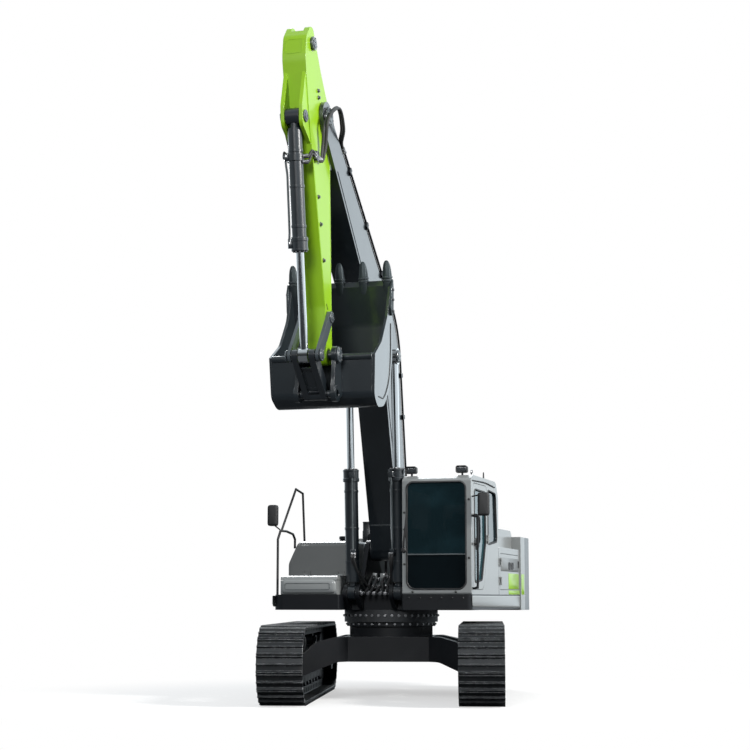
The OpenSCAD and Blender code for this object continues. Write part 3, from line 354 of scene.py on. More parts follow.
class Shade:
    """A material whose nodes are written as expressions."""

    def __init__(self, name, kind=bpy.data.materials):
        self.material = kind.new(name)
        self.material.use_nodes = True
        self.tree = self.material.node_tree
        self.tree.nodes.clear()

    def put(self, socket, value):
        """Links a value to a socket, or sets the socket to it."""
        if isinstance(value, Value):
            self.tree.links.new(value.socket, socket)
        else:
            socket.default_value = value

    def node(self, kind, settings=None, inputs=(), out=0):
        made = self.tree.nodes.new(kind)
        for key, value in (settings or {}).items():
            setattr(made, key, value)
        for key, value in (inputs.items() if isinstance(inputs, dict) else enumerate(inputs)):
            self.put(made.inputs[key], value)
        return Value(self, made.outputs[out]) if made.outputs else None

    def place(self):
        return self.node("ShaderNodeTexCoord", out="Object")

    def noise(self, scale, detail=4, rough=0.5):
        p = self.place()
        inputs = {"Vector": p, "Scale": scale, "Detail": detail, "Roughness": rough}
        return self.node("ShaderNodeTexNoise", {}, inputs)

    def cells(self, scale):
        return self.node("ShaderNodeTexVoronoi", {}, {"Vector": self.place(), "Scale": scale}, "Distance")

    def bands(self, direction, scale):
        settings = {"wave_type": "BANDS", "bands_direction": direction}
        return self.node("ShaderNodeTexWave", settings, {"Vector": self.place(), "Scale": scale})

    def normal(self):
        return self.node("ShaderNodeNewGeometry", out="Normal")

    def mix(self, a, b, t):
        """Colour a where t is 0 and colour b where it is 1."""
        made = self.tree.nodes.new("ShaderNodeMix")
        made.data_type = "RGBA"
        self.put(made.inputs[0], t)
        for socket, colour in zip(made.inputs[6:8], (a, b)):
            self.put(socket, (*colour, 1) if isinstance(colour, tuple) else colour)
        return Value(self, made.outputs[2])

    def edges(self, radius):
        """1 on edges and 0 on open faces: how far a rounded normal leans from the true one."""
        soft = self.node("ShaderNodeBevel", {"samples": 4}, {"Radius": radius})
        dot = self.node("ShaderNodeVectorMath", {"operation": "DOT_PRODUCT"}, [soft, self.normal()],
                        "Value")
        return soft, (1 - dot).step(0.004, 0.12)

    def bump(self, height, strength, distance, normal=None):
        inputs = {"Height": height, "Strength": strength, "Distance": distance}
        if normal is not None:
            inputs["Normal"] = normal
        return self.node("ShaderNodeBump", {}, inputs)

    def done(self, **sockets):
        names = {"colour": "Base Color", "rough": "Roughness", "metal": "Metallic", "coat": "Coat Weight",
                 "normal": "Normal", "alpha": "Alpha", "specular": "Specular IOR Level",
                 "coat_rough": "Coat Roughness", "sheen": "Sheen Weight", "glow": "Emission Color",
                 "glow_strength": "Emission Strength"}
        inputs = {}
        for key, value in sockets.items():
            inputs[names[key]] = (*value, 1) if isinstance(value, tuple) else value
        shader = self.node("ShaderNodeBsdfPrincipled", {}, inputs, "BSDF")
        self.node("ShaderNodeOutputMaterial", {}, [shader])
        return self.material


def scaled(colour, k):
    """A colour made darker or lighter."""
    return tuple(min(1, c * k) for c in colour)


DUST, DRY_SOIL = (0.30, 0.27, 0.23), (0.17, 0.14, 0.11)


def paint(name, colour, rough=0.34, coat=0.3, dust=0.35, wear=0.5, bare=(0.16, 0.16, 0.165), soft=0.008,
          low=0.0, shine=0.5):
    """Sprayed paint: fine peel, slow changes of tone, dust on upper faces and rubbed edges; on dark paints
    the rubbed edges are lighter and are a painted edge highlight as well as wear.
    """
    m = Shade(name)
    tone = m.noise(0.9, 5, 0.6)
    peel = m.noise(420, 2)
    grime = m.noise(2.3, 8, 0.68)
    rounded, edge = m.edges(soft)
    up = m.normal().part(2).step(0.25, 0.95)
    lies = ((grime - 0.38) * 2.2).clamp() * up * dust
    near = (1 - m.place().part(2).step(0.2, 1.5)) * low * ((grime - 0.3) * 2.0).clamp()
    # Rubbed edges: wear, and on dark paints a painted edge highlight
    rub_and_highlight = (edge * ((m.noise(9, 6, 0.7) - 0.47) * 5).clamp() * wear).clamp()
    c = m.mix(scaled(colour, 0.86), scaled(colour, 1.10), tone)
    c = m.mix(c, bare, rub_and_highlight)
    c = m.mix(c, DUST, (lies + near).clamp() * 0.55)
    r = rough + (tone - 0.5) * 0.12 + (lies + near).clamp() * 0.35 + rub_and_highlight * 0.1
    return m.done(colour=c, rough=r.clamp(), coat=coat, coat_rough=0.12, specular=shine,
                  normal=m.bump(peel, 0.05, 0.0006, rounded))


def paint_with_shaded_rear(name, colour, dark, at):
    """Paint with a painted shade: behind a straight edge, at a place along the machine, it takes the dark
    colour, which stands for shade.
    """
    m = Shade(name)
    rounded, edge = m.edges(0.012)
    tone = m.noise(0.9, 5, 0.6)
    # Painted shade: the part behind the edge is near black, standing for the counterweight's shaded rear
    behind = m.place().part(1).step(at - 0.002, at + 0.002)
    c = m.mix(m.mix(scaled(colour, 0.9), colour, tone), dark, behind)
    return m.done(colour=c, rough=(0.36 + (tone - 0.5) * 0.1).clamp(), coat=0.45, coat_rough=0.12,
                  normal=m.bump(m.noise(420, 2), 0.05, 0.0006, rounded))


def worn_steel(name, colour=(0.055, 0.056, 0.058), bright=(0.34, 0.33, 0.32), soft=0.006, mud=0.35):
    """Bare cast steel: grainy skin, bright rubbed edges that are wear and also a painted highlight, and dry
    soil in the hollows.
    """
    m = Shade(name)
    grain = m.noise(160, 4, 0.6)
    patch = m.noise(5.5, 7, 0.7)
    rounded, edge = m.edges(soft)
    rub_and_highlight = (edge * ((m.noise(14, 5, 0.65) - 0.36) * 3).clamp()).clamp()
    soil = ((patch - 0.52) * 4).clamp() * mud
    c = m.mix(scaled(colour, 0.7), scaled(colour, 1.35), patch)
    c = m.mix(c, DRY_SOIL, soil)
    # Bright edges: wear, and a painted highlight
    c = m.mix(c, bright, rub_and_highlight * 0.75)
    return m.done(colour=c, rough=(0.52 + soil * 0.3 - rub_and_highlight * 0.2).clamp(), metal=(0.55 - soil * 0.5).clamp(),
                  normal=m.bump(grain, 0.25, 0.0012, rounded))


def polished(name, colour=(0.86, 0.87, 0.88), rough=0.08):
    """Hard chrome: near mirror, with faint rings from grinding and a film of oil."""
    m = Shade(name)
    film = m.noise(7, 5, 0.6)
    fine = m.noise(900, 2)
    return m.done(colour=m.mix(scaled(colour, 0.93), colour, film), metal=1.0,
                  rough=(rough + film * 0.08).clamp(), normal=m.bump(fine, 0.03, 0.0002))


def machined(name, colour=(0.50, 0.51, 0.52)):
    """Turned steel of pins and fittings, zinc grey with smudges."""
    m = Shade(name)
    smudge = m.noise(18, 5, 0.65)
    return m.done(colour=m.mix(scaled(colour, 0.6), colour, smudge), metal=0.9,
                  rough=(0.28 + smudge * 0.25).clamp(), normal=m.bump(m.noise(300, 2), 0.08, 0.0006))


def rubber(name, colour=(0.018, 0.018, 0.019), rough=0.62):
    """Black rubber: matt, faintly ribbed by noise, grey with dust in places."""
    m = Shade(name)
    dusty = ((m.noise(6, 6, 0.65) - 0.5) * 3).clamp()
    c = m.mix(colour, (0.075, 0.073, 0.07), dusty * 0.6)
    return m.done(colour=c, rough=(rough + dusty * 0.2).clamp(),
                  normal=m.bump(m.noise(380, 3), 0.2, 0.0008))


def tinted_glass(name, colour=(0.006, 0.016, 0.020), alpha=0.80, low=1.98):
    """Tinted safety glass: dark, glossy and thinly see-through; below a height it is painted near black and
    made nearly opaque, as painted shade from the cab's dark inside.
    """
    m = Shade(name)
    film = ((m.noise(1.6, 4, 0.5) - 0.45) * 2.5).clamp()
    # Painted shade: below the height the glass is darkened and closed
    shaded_below = 1 - m.place().part(2).step(low - 0.01, low + 0.01)
    c = m.mix(m.mix(colour, (0.016, 0.044, 0.055), film), (0.002, 0.003, 0.004), shaded_below * 0.85)
    return m.done(colour=c, rough=0.05, alpha=(alpha + shaded_below * 0.17).clamp(), specular=0.5, coat=0.3,
                  coat_rough=0.03)


def moulded(name, colour=(0.010, 0.010, 0.011), rough=0.50):
    """Moulded plastic with a fine leather-like grain."""
    m = Shade(name)
    grain = m.cells(900)
    tone = m.noise(3, 4)
    return m.done(colour=m.mix(scaled(colour, 0.8), scaled(colour, 1.25), tone),
                  rough=(rough + tone * 0.12).clamp(), normal=m.bump(grain, 0.18, 0.0006))


def lens(name, colour=(0.05, 0.055, 0.06), glow=0.0):
    """Ribbed lamp glass over a bright reflector."""
    m = Shade(name)
    rib = m.bands("X", 40.0)
    return m.done(colour=m.mix(scaled(colour, 0.75), colour, rib), rough=0.08, coat=1.0, coat_rough=0.03,
                  glow=colour, glow_strength=glow, normal=m.bump(rib, 0.3, 0.002))


def cloth(name, colour=(0.035, 0.036, 0.04)):
    """Woven seat cover: crossed threads and soft mottling."""
    m = Shade(name)
    thread = m.bands("X", 130.0) * m.bands("Z", 130.0)
    mottle = m.noise(11, 5)
    c = m.mix(scaled(colour, 0.6), scaled(colour, 1.9), thread * 0.6 + mottle * 0.4)
    return m.done(colour=c, rough=0.9, sheen=0.2, normal=m.bump(thread, 0.4, 0.0015))


SILVER = (0.225, 0.236, 0.236)
# Counterweight: silver in front, its rear painted near black as shade
weight_paint_and_shade = paint_with_shaded_rear("weight_paint_and_shade", SILVER, (0.010, 0.011, 0.013), 2.620)
lime = paint("lime_paint", (0.25, 0.47, 0.002), rough=0.40, dust=0.05, wear=0.25, bare=(0.20, 0.22, 0.10))
charcoal = paint("charcoal_paint", (0.010, 0.014, 0.018), coat=1.0, dust=0.15, soft=0.010)
black = paint("black_paint", (0.006, 0.007, 0.009), rough=0.42, coat=0.12, dust=0.06, low=0.04, shine=0.25)
silver = paint("silver_paint", SILVER, rough=0.36, coat=0.45, dust=0.08, wear=0.15, soft=0.012)
tank_paint = paint("tank_paint", (0.135, 0.140, 0.138), rough=0.40, dust=0.06, wear=0.15, soft=0.012)
slate = paint("slate_paint", (0.075, 0.088, 0.093), rough=0.42, coat=0.25, dust=0.25, wear=0.3)
link_paint = paint("link_paint", (0.050, 0.062, 0.070), rough=0.36, coat=0.6, dust=0.15, wear=0.7)
bucket_paint = paint("bucket_paint", (0.009, 0.014, 0.018), coat=1.0, dust=0.10, wear=0.8, soft=0.010)
# Track steel: its light grey edges are worn metal and also painted highlights on the shoes
track_steel = worn_steel("track_steel", (0.018, 0.020, 0.022), (0.42, 0.43, 0.44), soft=0.010, mud=0.06)
cast_steel = worn_steel("cast_steel", (0.035, 0.037, 0.040), (0.25, 0.25, 0.25), mud=0.15)
tooth_steel = worn_steel("tooth_steel", (0.030, 0.040, 0.044), (0.50, 0.52, 0.54), mud=0.05)
chrome = polished("hard_chrome")
pin_steel = machined("pin_steel")
zinc = machined("zinc_bolts", (0.40, 0.40, 0.41))
hose = rubber("hose_rubber")
seal = rubber("seal_rubber", (0.014, 0.014, 0.015), 0.5)
glass = tinted_glass("cab_glass_tint_and_shade")
side_glass = tinted_glass("side_glass_tint", (0.020, 0.085, 0.105), 0.78, 1.0)
plastic = moulded("trim_plastic")
lamp_lens = lens("lamp_lens")
seat_cloth = cloth("seat_cloth")

finish = {
    lime: "arm",
    charcoal: "boom boom_lines boom_lamp power_link arm_pins boom_cylinder_barrels arm_cylinder_barrel "
              "bucket_cylinder_barrel",
    link_paint: "idler_links",
    black: "carbody track_frame_left track_frame_right deck",
    weight_paint_and_shade: "counterweight",
    silver: "cab_frame cab_door engine_hood radiator_body radiator_door pump_body pump_door tool_box "
            "tool_box_lid",
    tank_paint: "fuel_tank",
    slate: "engine valve_block",
    bucket_paint: "bucket bucket_sides bucket_ears",
    track_steel: "track_left track_right",
    cast_steel: "idlers sprockets bottom_rollers carrier_rollers swing_ring exhaust",
    tooth_steel: "bucket_teeth bucket_cutters",
    chrome: "boom_cylinder_rods arm_cylinder_rod bucket_cylinder_rod",
    pin_steel: "upper_pins boom_pins",
    glass: "cab_glass",
    side_glass: "door_glass",
    seat_cloth: "seat",
    plastic: "cab_controls handrails mirrors work_lamps",
}
for material, names in finish.items():
    for n in names.split():
        if n in nodes:
            nodes[n].data.materials.clear()
            nodes[n].data.materials.append(material)


# Tracks

WHEEL_F, WHEEL_Z, SHOE_R, SHOES = 1.950, 0.520, 0.486, 48
RUN, ARC = 2 * WHEEL_F, math.pi * SHOE_R
LOOP = 2 * RUN + 2 * ARC
SHOE_PITCH = LOOP / SHOES
CHAIN_FACE, CHAIN_LINE = 0.0952, -0.075
# Faces that bolts and caps stand on, from the track's middle, and the ring of the drive's bolts
GUARD_FACE, IDLER_FACE, DRIVE_FACE, DRIVE_END, DRIVE_RING = 0.1503, 0.1505, 0.2305, 0.2855, 0.215


def loop_at(s, h):
    """Point (forward, up) and outward normal at distance s round the track, h out from the shoes.

    The loop is a straight run, an arc, a run and an arc."""
    s = np.asarray(s, float) % LOOP
    part = np.searchsorted([RUN, RUN + ARC, 2 * RUN + ARC], s, side="right")
    turn, wheel = np.full_like(s, tau / 4), np.full_like(s, WHEEL_F)
    a = np.choose(part, [turn, turn + (s - RUN) / SHOE_R, -turn, -turn + (s - 2 * RUN - ARC) / SHOE_R])
    c = np.choose(part, [WHEEL_F - s, -wheel, s - RUN - ARC - WHEEL_F, wheel])
    n = columns(np.cos(a), np.sin(a))
    return columns(c, WHEEL_Z) + (SHOE_R + h) * n, n


PIN_END = turned_arrays([(0.034, 0), (0.034, 0.002), (0.030, 0.006), (0.0153, 0.006), (0.01292, 0.002)],
                        (0, 0, 0), UP, 14)
# A link plate, waisted between its two pins: share of the pitch, height
WAIST = [(-0.5, -0.030), (-0.25, -0.036), (0.0, -0.024), (0.25, -0.036), (0.5, -0.030), (0.5, 0.030),
         (0.25, 0.036), (0.0, 0.030), (-0.25, 0.036), (-0.5, 0.030)]
LINK = panel_arrays(np.array(WAIST) * [SHOE_PITCH * 0.84, 1], [(0, 0), (0, 0.003), (0.003, 0.005)])
DRIVE_CAP = [(0.150, 0), (0.150, 0.008), (0.142, 0.014), (0.060, 0.014), (0.056, 0.020), (0.018, 0.022)]
IDLER_CAP = [(0.086, 0), (0.086, 0.012), (0.078, 0.020), (0.030, 0.020), (0.026, 0.014)]
for side, word in SIDES[::-1]:
    place = on_track(side)
    right = dirs(place, (1, 0, 0))
    i, share, across = combined(np.arange(SHOES), (0.30, 0.70), (-0.072, 0.072))
    p, n = loop_at((i + share) * SHOE_PITCH, 0.0036)
    out = dirs(place, np.column_stack([0 * across, n]))
    bolts(f"shoe_bolts_{word}", place(np.column_stack([across, p])), out, 0.016, cast_steel, "base", 0.014)
    # Chain: pin ends, and the plates between them, on both faces
    i, face = combined(np.arange(SHOES), (-1, 1))
    p, n = loop_at(i * SHOE_PITCH, CHAIN_LINE)
    at = place(np.column_stack([face * CHAIN_FACE, p]))
    axes = axes_for(dirs(place, columns(face, 0, 0)))
    mesh_piece(f"chain_pins_{word}", *copies(PIN_END, (at, *axes)), cast_steel, "base")
    p, n = loop_at((i + 0.5) * SHOE_PITCH, CHAIN_LINE)
    at = place(np.column_stack([face * CHAIN_FACE, p]))
    x = dirs(place, columns(0, n[:, 1] * face, -n[:, 0] * face))
    y = dirs(place, np.column_stack([0 * face, n]))
    mesh_piece(f"chain_links_{word}", *copies(LINK, (at, x, y, np.cross(x, y))), track_steel, "base")
    # Drive and idler caps
    a = np.arange(16) * tau / 16
    ring = DRIVE_RING * columns(0, np.cos(a), np.sin(a))
    at = place(ring + [side * DRIVE_FACE, -WHEEL_F, WHEEL_Z])
    bolts(f"drive_bolts_{word}", at, side * right, 0.014, zinc, "base")
    caps = [turned_arrays(DRIVE_CAP, place((side * DRIVE_END, -WHEEL_F, WHEEL_Z)), side * right, 40)]
    for face in (-1, 1):
        caps.append(turned_arrays(IDLER_CAP, place((face * IDLER_FACE, WHEEL_F, WHEEL_Z)), face * right, 32))
    merged(f"wheel_caps_{word}", caps, black, "base")
    # Bolts of the roller guards
    for face in (-1, 1):
        at = place(columns(face * GUARD_FACE, np.linspace(-1.35, 1.35, 16), 0.372))
        where = "in" if face * side < 0 else "out"
        bolts(f"guard_bolts_{word}_{where}", at, face * right, 0.013, black, "base")

# Slewing ring bolts, and bolts of the car body's cover
RINGS = {"ring_bolts": (44, 0.6655, 1.150, 0.017, "upper", 0.02),
         "base_ring_bolts": (36, 0.6305, 1.030, 0.014, "base", 0.016)}
for word, (count, ring_r, z, r, body, h) in RINGS.items():
    a = np.arange(count) * tau / count
    out = columns(np.cos(a), np.sin(a), 0)
    bolts(word, ring_r * out + [0, 0, z], out, r, zinc, body, h)


# Cab

DECK, CAB_X, CAB_F, CAB_R, CAB_LOW, CAB_TOP = 1.420, 0.455, 1.080, -0.720, 1.440, 3.060


def ccw(loop):
    """The outline, counter-clockwise."""
    area = (loop[:, 0] * np.roll(loop[:, 1], -1) - np.roll(loop[:, 0], -1) * loop[:, 1]).sum()
    return loop if area > 0 else loop[::-1]


def on_front(f):
    return flat((0, -f, 0), (1, 0, 0), UP)


def on_left(x):
    """Plane x facing +X; outlines are in (-forward, up)."""
    return flat((x, 0, 0), (0, 1, 0), UP)


def on_right(x):
    """Plane x facing -X; outlines are in (forward, up)."""
    return flat((x, 0, 0), (0, -1, 0), UP)


def on_back(f):
    return flat((0, -f, 0), (-1, 0, 0), UP)


def on_top(z):
    return flat((0, 0, z), (1, 0, 0), (0, 1, 0))


def gasket(name, loop, place, body, wide=0.011, high=0.008):
    """A window's rubber: a rounded strip carried round the outline."""
    rows = [(-wide, 0), (-wide, high * 0.6), (-wide * 0.6, high), (wide * 0.5, high),
            (wide * 0.8, high * 0.5), (wide * 0.8, -0.018)]
    return panel(name, ccw(loop), rows, place, seal, body, cap=False)


windscreen = fillet([(CAB_X + 0.062, CAB_LOW + 0.075, 0.11), (DECK - 0.075, CAB_LOW + 0.075, 0.11),
                     (DECK - 0.075, CAB_TOP - 0.095, 0.09), (CAB_X + 0.062, CAB_TOP - 0.095, 0.09)], 8)
gasket("windscreen_rubber", windscreen, on_front(CAB_F), "upper", 0.012)
DOOR_F, DOOR_R, DOOR_L, DOOR_H = CAB_F - 0.130, CAB_F - 1.010, CAB_LOW + 0.070, CAB_TOP - 0.110
# The other windows: corners (forward or left, up, radius), plane, body,
# and -1 where the plane runs the other way
PANES = {
    "door_rubber": ([(DOOR_R + 0.09, DOOR_L + 0.64, 0.08), (DOOR_R + 0.34, DOOR_L + 0.13, 0.10),
                     (DOOR_F - 0.08, DOOR_L + 0.09, 0.06), (DOOR_F - 0.08, DOOR_H - 0.08, 0.07),
                     (DOOR_R + 0.09, DOOR_H - 0.08, 0.07)], on_left(DECK), "cab_door", -1),
    "quarter_rubber": ([(CAB_R + 0.11, CAB_LOW + 0.76, 0.06), (DOOR_R - 0.07, CAB_LOW + 0.70, 0.06),
                        (DOOR_R - 0.07, CAB_TOP - 0.15, 0.06), (CAB_R + 0.18, CAB_TOP - 0.17, 0.09)],
                       on_left(DECK), "upper", -1),
    "right_rubber": ([(CAB_R + 0.12, CAB_LOW + 0.56, 0.08), (CAB_F - 0.13, CAB_LOW + 0.42, 0.08),
                      (CAB_F - 0.16, CAB_TOP - 0.15, 0.09), (CAB_R + 0.19, CAB_TOP - 0.17, 0.09)],
                     on_right(CAB_X), "upper", 1),
    "rear_rubber": ([(CAB_X + 0.13, CAB_LOW + 0.76, 0.06), (DECK - 0.13, CAB_LOW + 0.76, 0.06),
                     (DECK - 0.13, CAB_TOP - 0.30, 0.06), (CAB_X + 0.13, CAB_TOP - 0.30, 0.06)],
                    on_back(CAB_R), "upper", -1),
}
for word, (corners, place, body, flip) in PANES.items():
    gasket(word, fillet(corners) * [flip, 1], place, body)

# Bar between the upper and the lower windscreen
BAR_Z = 1.980
panel("windscreen_bar", rounded_loop(DECK - CAB_X - 0.15, 0.018, 0.004) + [(DECK + CAB_X) / 2 - 0.006, BAR_Z],
      [(0, -0.022), (0, -0.010), (0.004, -0.006)], on_front(CAB_F), slate, "upper")
# Wiper, parked along the right pillar: a cranked arm, a thin blade and a motor
w0 = np.array([CAB_X + 0.022, CAB_F + 0.012, 2.050])
arm_run = w0 + [(0, 0, 0), (0.004, 0.020, 0.10), (0.045, 0.014, 0.46)]
blade_run = w0 + [(0.025, 0.010, 0.16), (0.045, 0.009, 0.46), (0.060, 0.010, 0.76)]
tubes("wiper_arm", [on_upper(arm_run)], 0.011, plastic, "upper", 8)
tubes("wiper_blade", [on_upper(blade_run)], 0.007, seal, "upper", 8)
turned("wiper_motor", [(0.036, 0), (0.036, 0.022), (0.026, 0.032), (0.008, 0.034)],
       (w0[0], -CAB_F, w0[2] - 0.01), (0, -1, 0), 20, plastic, "upper")
# Studs that hold the windscreen's guard
at = [(CAB_X + 0.030, -CAB_F, z) for z in (1.85, 2.32, 2.55)]
at += [(DECK - 0.032, -CAB_F, z) for z in (1.93, 2.72)]
at += [(x, -CAB_F, CAB_LOW + 0.035) for x in (0.60, 1.20)]
bolts("screen_studs", at, (0, -1, 0), 0.014, seal, "upper", 0.02)

# Door: seam line, handle with its cup, and the grab rails beside it
seam = ccw(fillet([(DOOR_R, DOOR_L + 0.52, 0.12), (DOOR_R + 0.26, DOOR_L, 0.16), (DOOR_F, DOOR_L, 0.06),
                   (DOOR_F, DOOR_H, 0.09), (DOOR_R, DOOR_H, 0.09)]) * [-1, 1])
panel("door_seal", inward(seam, -0.0045), [(0, -0.045), (0.0, -0.012), (0.0035, -0.012), (0.0035, -0.045)],
      on_left(DECK), seal, "cab_door", cap=False)
handle_y, handle_z = 0.185 - DOOR_F, DOOR_L + 0.62
panel("door_cup", rounded_loop(0.070, 0.17, 0.03) + [handle_y, handle_z],
      [(0, -0.004), (0, 0.003), (0.006, 0.006), (0.012, -0.002)], on_left(DECK), plastic, "cab_door")
grip = [(DECK + x, handle_y, handle_z + z)
        for x, z in ((0.004, -0.06), (0.03, -0.045), (0.032, 0.03), (0.004, 0.055))]
tubes("door_handle", [grip], 0.009, plastic, "cab_door", 8, 0.01)
RAILS = {"grab_rail": (CAB_F - 0.050, 1.520, 2.500), "rear_grab_rail": (CAB_F - 0.170, 2.120, 2.520)}
for word, (f, low, high) in RAILS.items():
    rail = [(DECK, f - 0.02, low), (DECK + 0.060, f, low + 0.015), (DECK + 0.075, f, low + 0.08),
            (DECK + 0.075, f, high - 0.08), (DECK + 0.060, f, high - 0.015), (DECK, f - 0.02, high)]
    tubes(word, [on_upper(rail)], 0.016, black, "upper", 10, 0.02)

# Roof: raised hatch, rain lip over the door, lamps
panel("roof_hatch", rounded_loop(0.62, 0.70, 0.09) + [(CAB_X + DECK) / 2, -0.15],
      [(0, 0), (0, 0.010), (0.016, 0.022), (0.05, 0.026)], on_top(CAB_TOP), silver, "upper")
lip = [(DECK + 0.004, 0.10 - CAB_F, CAB_TOP - 0.080), (DECK + 0.006, -0.2, CAB_TOP - 0.062),
       (DECK + 0.004, 0.45, CAB_TOP - 0.085)]
tubes("rain_lip", [lip], 0.010, seal, "upper", 8)
LAMP_SHELL = [(0.02, -0.095), (0.004, -0.085), (0, -0.02), (0, 0.010), (0.006, 0.015), (0.014, 0.004)]
lamp_face = on_front(CAB_F - 0.130)
for k, x in enumerate((CAB_X + 0.090, DECK - 0.160)):
    at = [x, CAB_TOP + 0.080]
    panel(f"roof_lamp_shell_{k}", rounded_loop(0.160, 0.104, 0.030) + at, LAMP_SHELL, lamp_face, plastic,
          "upper", cap=False)
    panel(f"roof_lamp_lens_{k}", rounded_loop(0.126, 0.070, 0.020) + at,
          [(0, 0.001), (0.004, 0.004), (0.016, 0.006)], lamp_face, lamp_lens, "upper")

# Lifting eye and aerial on the roof's left side
ROOF_X, EYE_Y, EYE_R = 1.330, -0.620, 0.034
a = np.linspace(0, tau, 25)
tubes("roof_eye", [columns(ROOF_X, EYE_Y + EYE_R * np.sin(a), CAB_TOP + 0.056 - EYE_R * np.cos(a))], 0.010,
      zinc, "upper", 10, 0.02)
turned("roof_eye_foot", [(0.026, -0.010), (0.026, 0.012), (0.014, 0.020), (0.012, 0.030)],
       (ROOF_X, EYE_Y, CAB_TOP), UP, 20, zinc, "upper")
turned("roof_aerial", [(0.030, -0.020), (0.030, 0.010), (0.012, 0.022), (0.009, 0.110), (0.003, 0.116)],
       (ROOF_X, 0.150, CAB_TOP), UP, 16, plastic, "upper")

# Mirrors: glass to the rear in a rounded shell; sides, heights and place of each housing
MIRRORS = {"left": (DECK + 0.110, DECK + 0.250, 2.50, 2.80, CAB_F),
           "right": (-1.500, -1.370, 2.40, 2.68, 1.000)}
for word, (x0, x1, z0, z1, f) in MIRRORS.items():
    x, z = (x0 + x1) / 2, (z0 + z1) / 2
    glass_loop = ccw(rounded_loop(x1 - x0 - 0.014, z1 - z0 - 0.014, 0.022) * [-1, 1] + [-x, z])
    panel(f"mirror_glass_{word}", glass_loop, [(0, 0), (0.003, 0.004), (0.01, 0.005)], on_back(f), chrome,
          "upper")
    panel(f"mirror_shell_{word}", rounded_loop(x1 - x0 + 0.016, z1 - z0 + 0.016, 0.040) + [x, z],
          [(0.004, -0.054), (0, -0.045), (0, 0.004), (0.006, 0.012), (0.020, 0.019), (0.034, 0.021)],
          on_front(f + 0.05), plastic, "upper")

# Seat: two cushions and a headrest, swollen a little by cloth simulation
SEAT_X, SEAT_F, FLOOR = (CAB_X + DECK) / 2, CAB_R + 0.560, CAB_LOW + 0.090
CLOTH_FRAMES = 14


def cushion(name, centre, size, tilt, puff):
    """A pad: a block with rounded rims, turned by tilt about X and blown up by cloth pressure.

    Half its height at (u, v), each from -1 to 1: h * (0.35 + 0.65 * ((1 - u^6)(1 - v^6))^0.35)."""
    k = 22
    u, v = np.meshgrid(np.linspace(-1, 1, k), np.linspace(-1, 1, k), indexing="ij")
    edge = (1 - np.abs(u) ** 6) * (1 - np.abs(v) ** 6)
    pull = 1 - 0.05 * (1 - u**2) * np.abs(v) ** 3 - 0.05 * (1 - v**2) * np.abs(u) ** 3
    high = size[2] / 2 * (0.35 + 0.65 * np.maximum(edge, 0) ** 0.35)
    top = np.stack([u * pull * size[0] / 2, v * pull * size[1] / 2, high], -1).reshape(-1, 3)
    low = top * [1, 1, -1]
    c, s = math.cos(tilt), math.sin(tilt)
    turn = np.array([[1, 0, 0], [0, c, s], [0, -s, c]])
    rim = np.concatenate([np.arange(k), np.arange(1, k) * k + k - 1,
                          (k - 1) * k + np.arange(k - 2, -1, -1), np.arange(k - 2, 0, -1) * k])
    faces = grid_faces(k, k)[:, ::-1].tolist() + (grid_faces(k, k) + k * k).tolist()
    faces += [[int(a), int(b), int(b) + k * k, int(a) + k * k] for a, b in zip(rim, np.roll(rim, -1))]
    points = np.vstack([top, low]) @ turn + np.asarray(centre)
    piece = mesh_piece(name, points, faces, seat_cloth, "upper", normals=True)
    start = np.empty(len(piece.data.vertices) * 3)
    piece.data.vertices.foreach_get("co", start)
    sim = piece.modifiers.new("cloth", "CLOTH")
    sim.settings.use_pressure = True
    sim.settings.uniform_pressure_force = 4
    sim.settings.effector_weights.gravity = 0
    sim.point_cache.frame_start, sim.point_cache.frame_end = 1, CLOTH_FRAMES
    for k in range(1, CLOTH_FRAMES + 1):
        bpy.context.scene.frame_set(k)
    seen = piece.evaluated_get(bpy.context.evaluated_depsgraph_get())
    blown = np.empty_like(start)
    seen.data.vertices.foreach_get("co", blown)
    piece.modifiers.remove(sim)
    move = (blown - start).reshape(-1, 3)
    far = np.linalg.norm(move, axis=1)[:, None]
    move *= np.minimum(1, puff / np.maximum(far, 1e-9))
    piece.data.vertices.foreach_set("co", (start.reshape(-1, 3) + move).ravel())
    bpy.context.scene.frame_set(1)
    sub = piece.modifiers.new("soft", "SUBSURF")
    sub.levels = sub.render_levels = 1
    return piece


seat_pad = cushion("seat_pad", (SEAT_X, -SEAT_F - 0.03, FLOOR + 0.325), (0.48, 0.52, 0.12),
                   math.radians(-3), 0.008)
for word, back, up, size, puff in (("back_pad", 0.235, 0.70, (0.47, 0.62, 0.11), 0.008),
                                   ("head_pad", 0.285, 0.985, (0.28, 0.18, 0.09), 0.006)):
    cushion(word, (SEAT_X, back - SEAT_F, FLOOR + up), size, math.radians(-80), puff)
folds = [(0.128 if k % 2 else 0.140, 0.03 + 0.025 * k) for k in range(9)]
base_rows = [(0.150, 0), (0.150, 0.02), (0.13, 0.03)] + folds + [(0.16, 0.255), (0.16, 0.262)]
turned("seat_base", base_rows, (SEAT_X, -SEAT_F, FLOOR), UP, 36, plastic, "upper")
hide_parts("seat")
STICK = [(0.06, 0), (0.058, 0.02), (0.045, 0.03), (0.050, 0.045), (0.034, 0.055), (0.038, 0.07),
         (0.024, 0.085), (0.019, 0.12), (0.024, 0.15), (0.027, 0.19), (0.022, 0.215), (0.008, 0.222)]
for s, word in SIDES:
    at = (SEAT_X + s * 0.345, -SEAT_F - 0.250, FLOOR + 0.497)
    turned(f"joystick_{word}", STICK, at, UP, 20, seal, "upper")


# Bodywork

BODY_TOP, HOOD_TOP, TANK_TOP, LID_TOP = 2.130, 2.420, 2.200, 1.700
FLUSH = [(0, 0), (0, 0.002), (0.002, 0.003)]


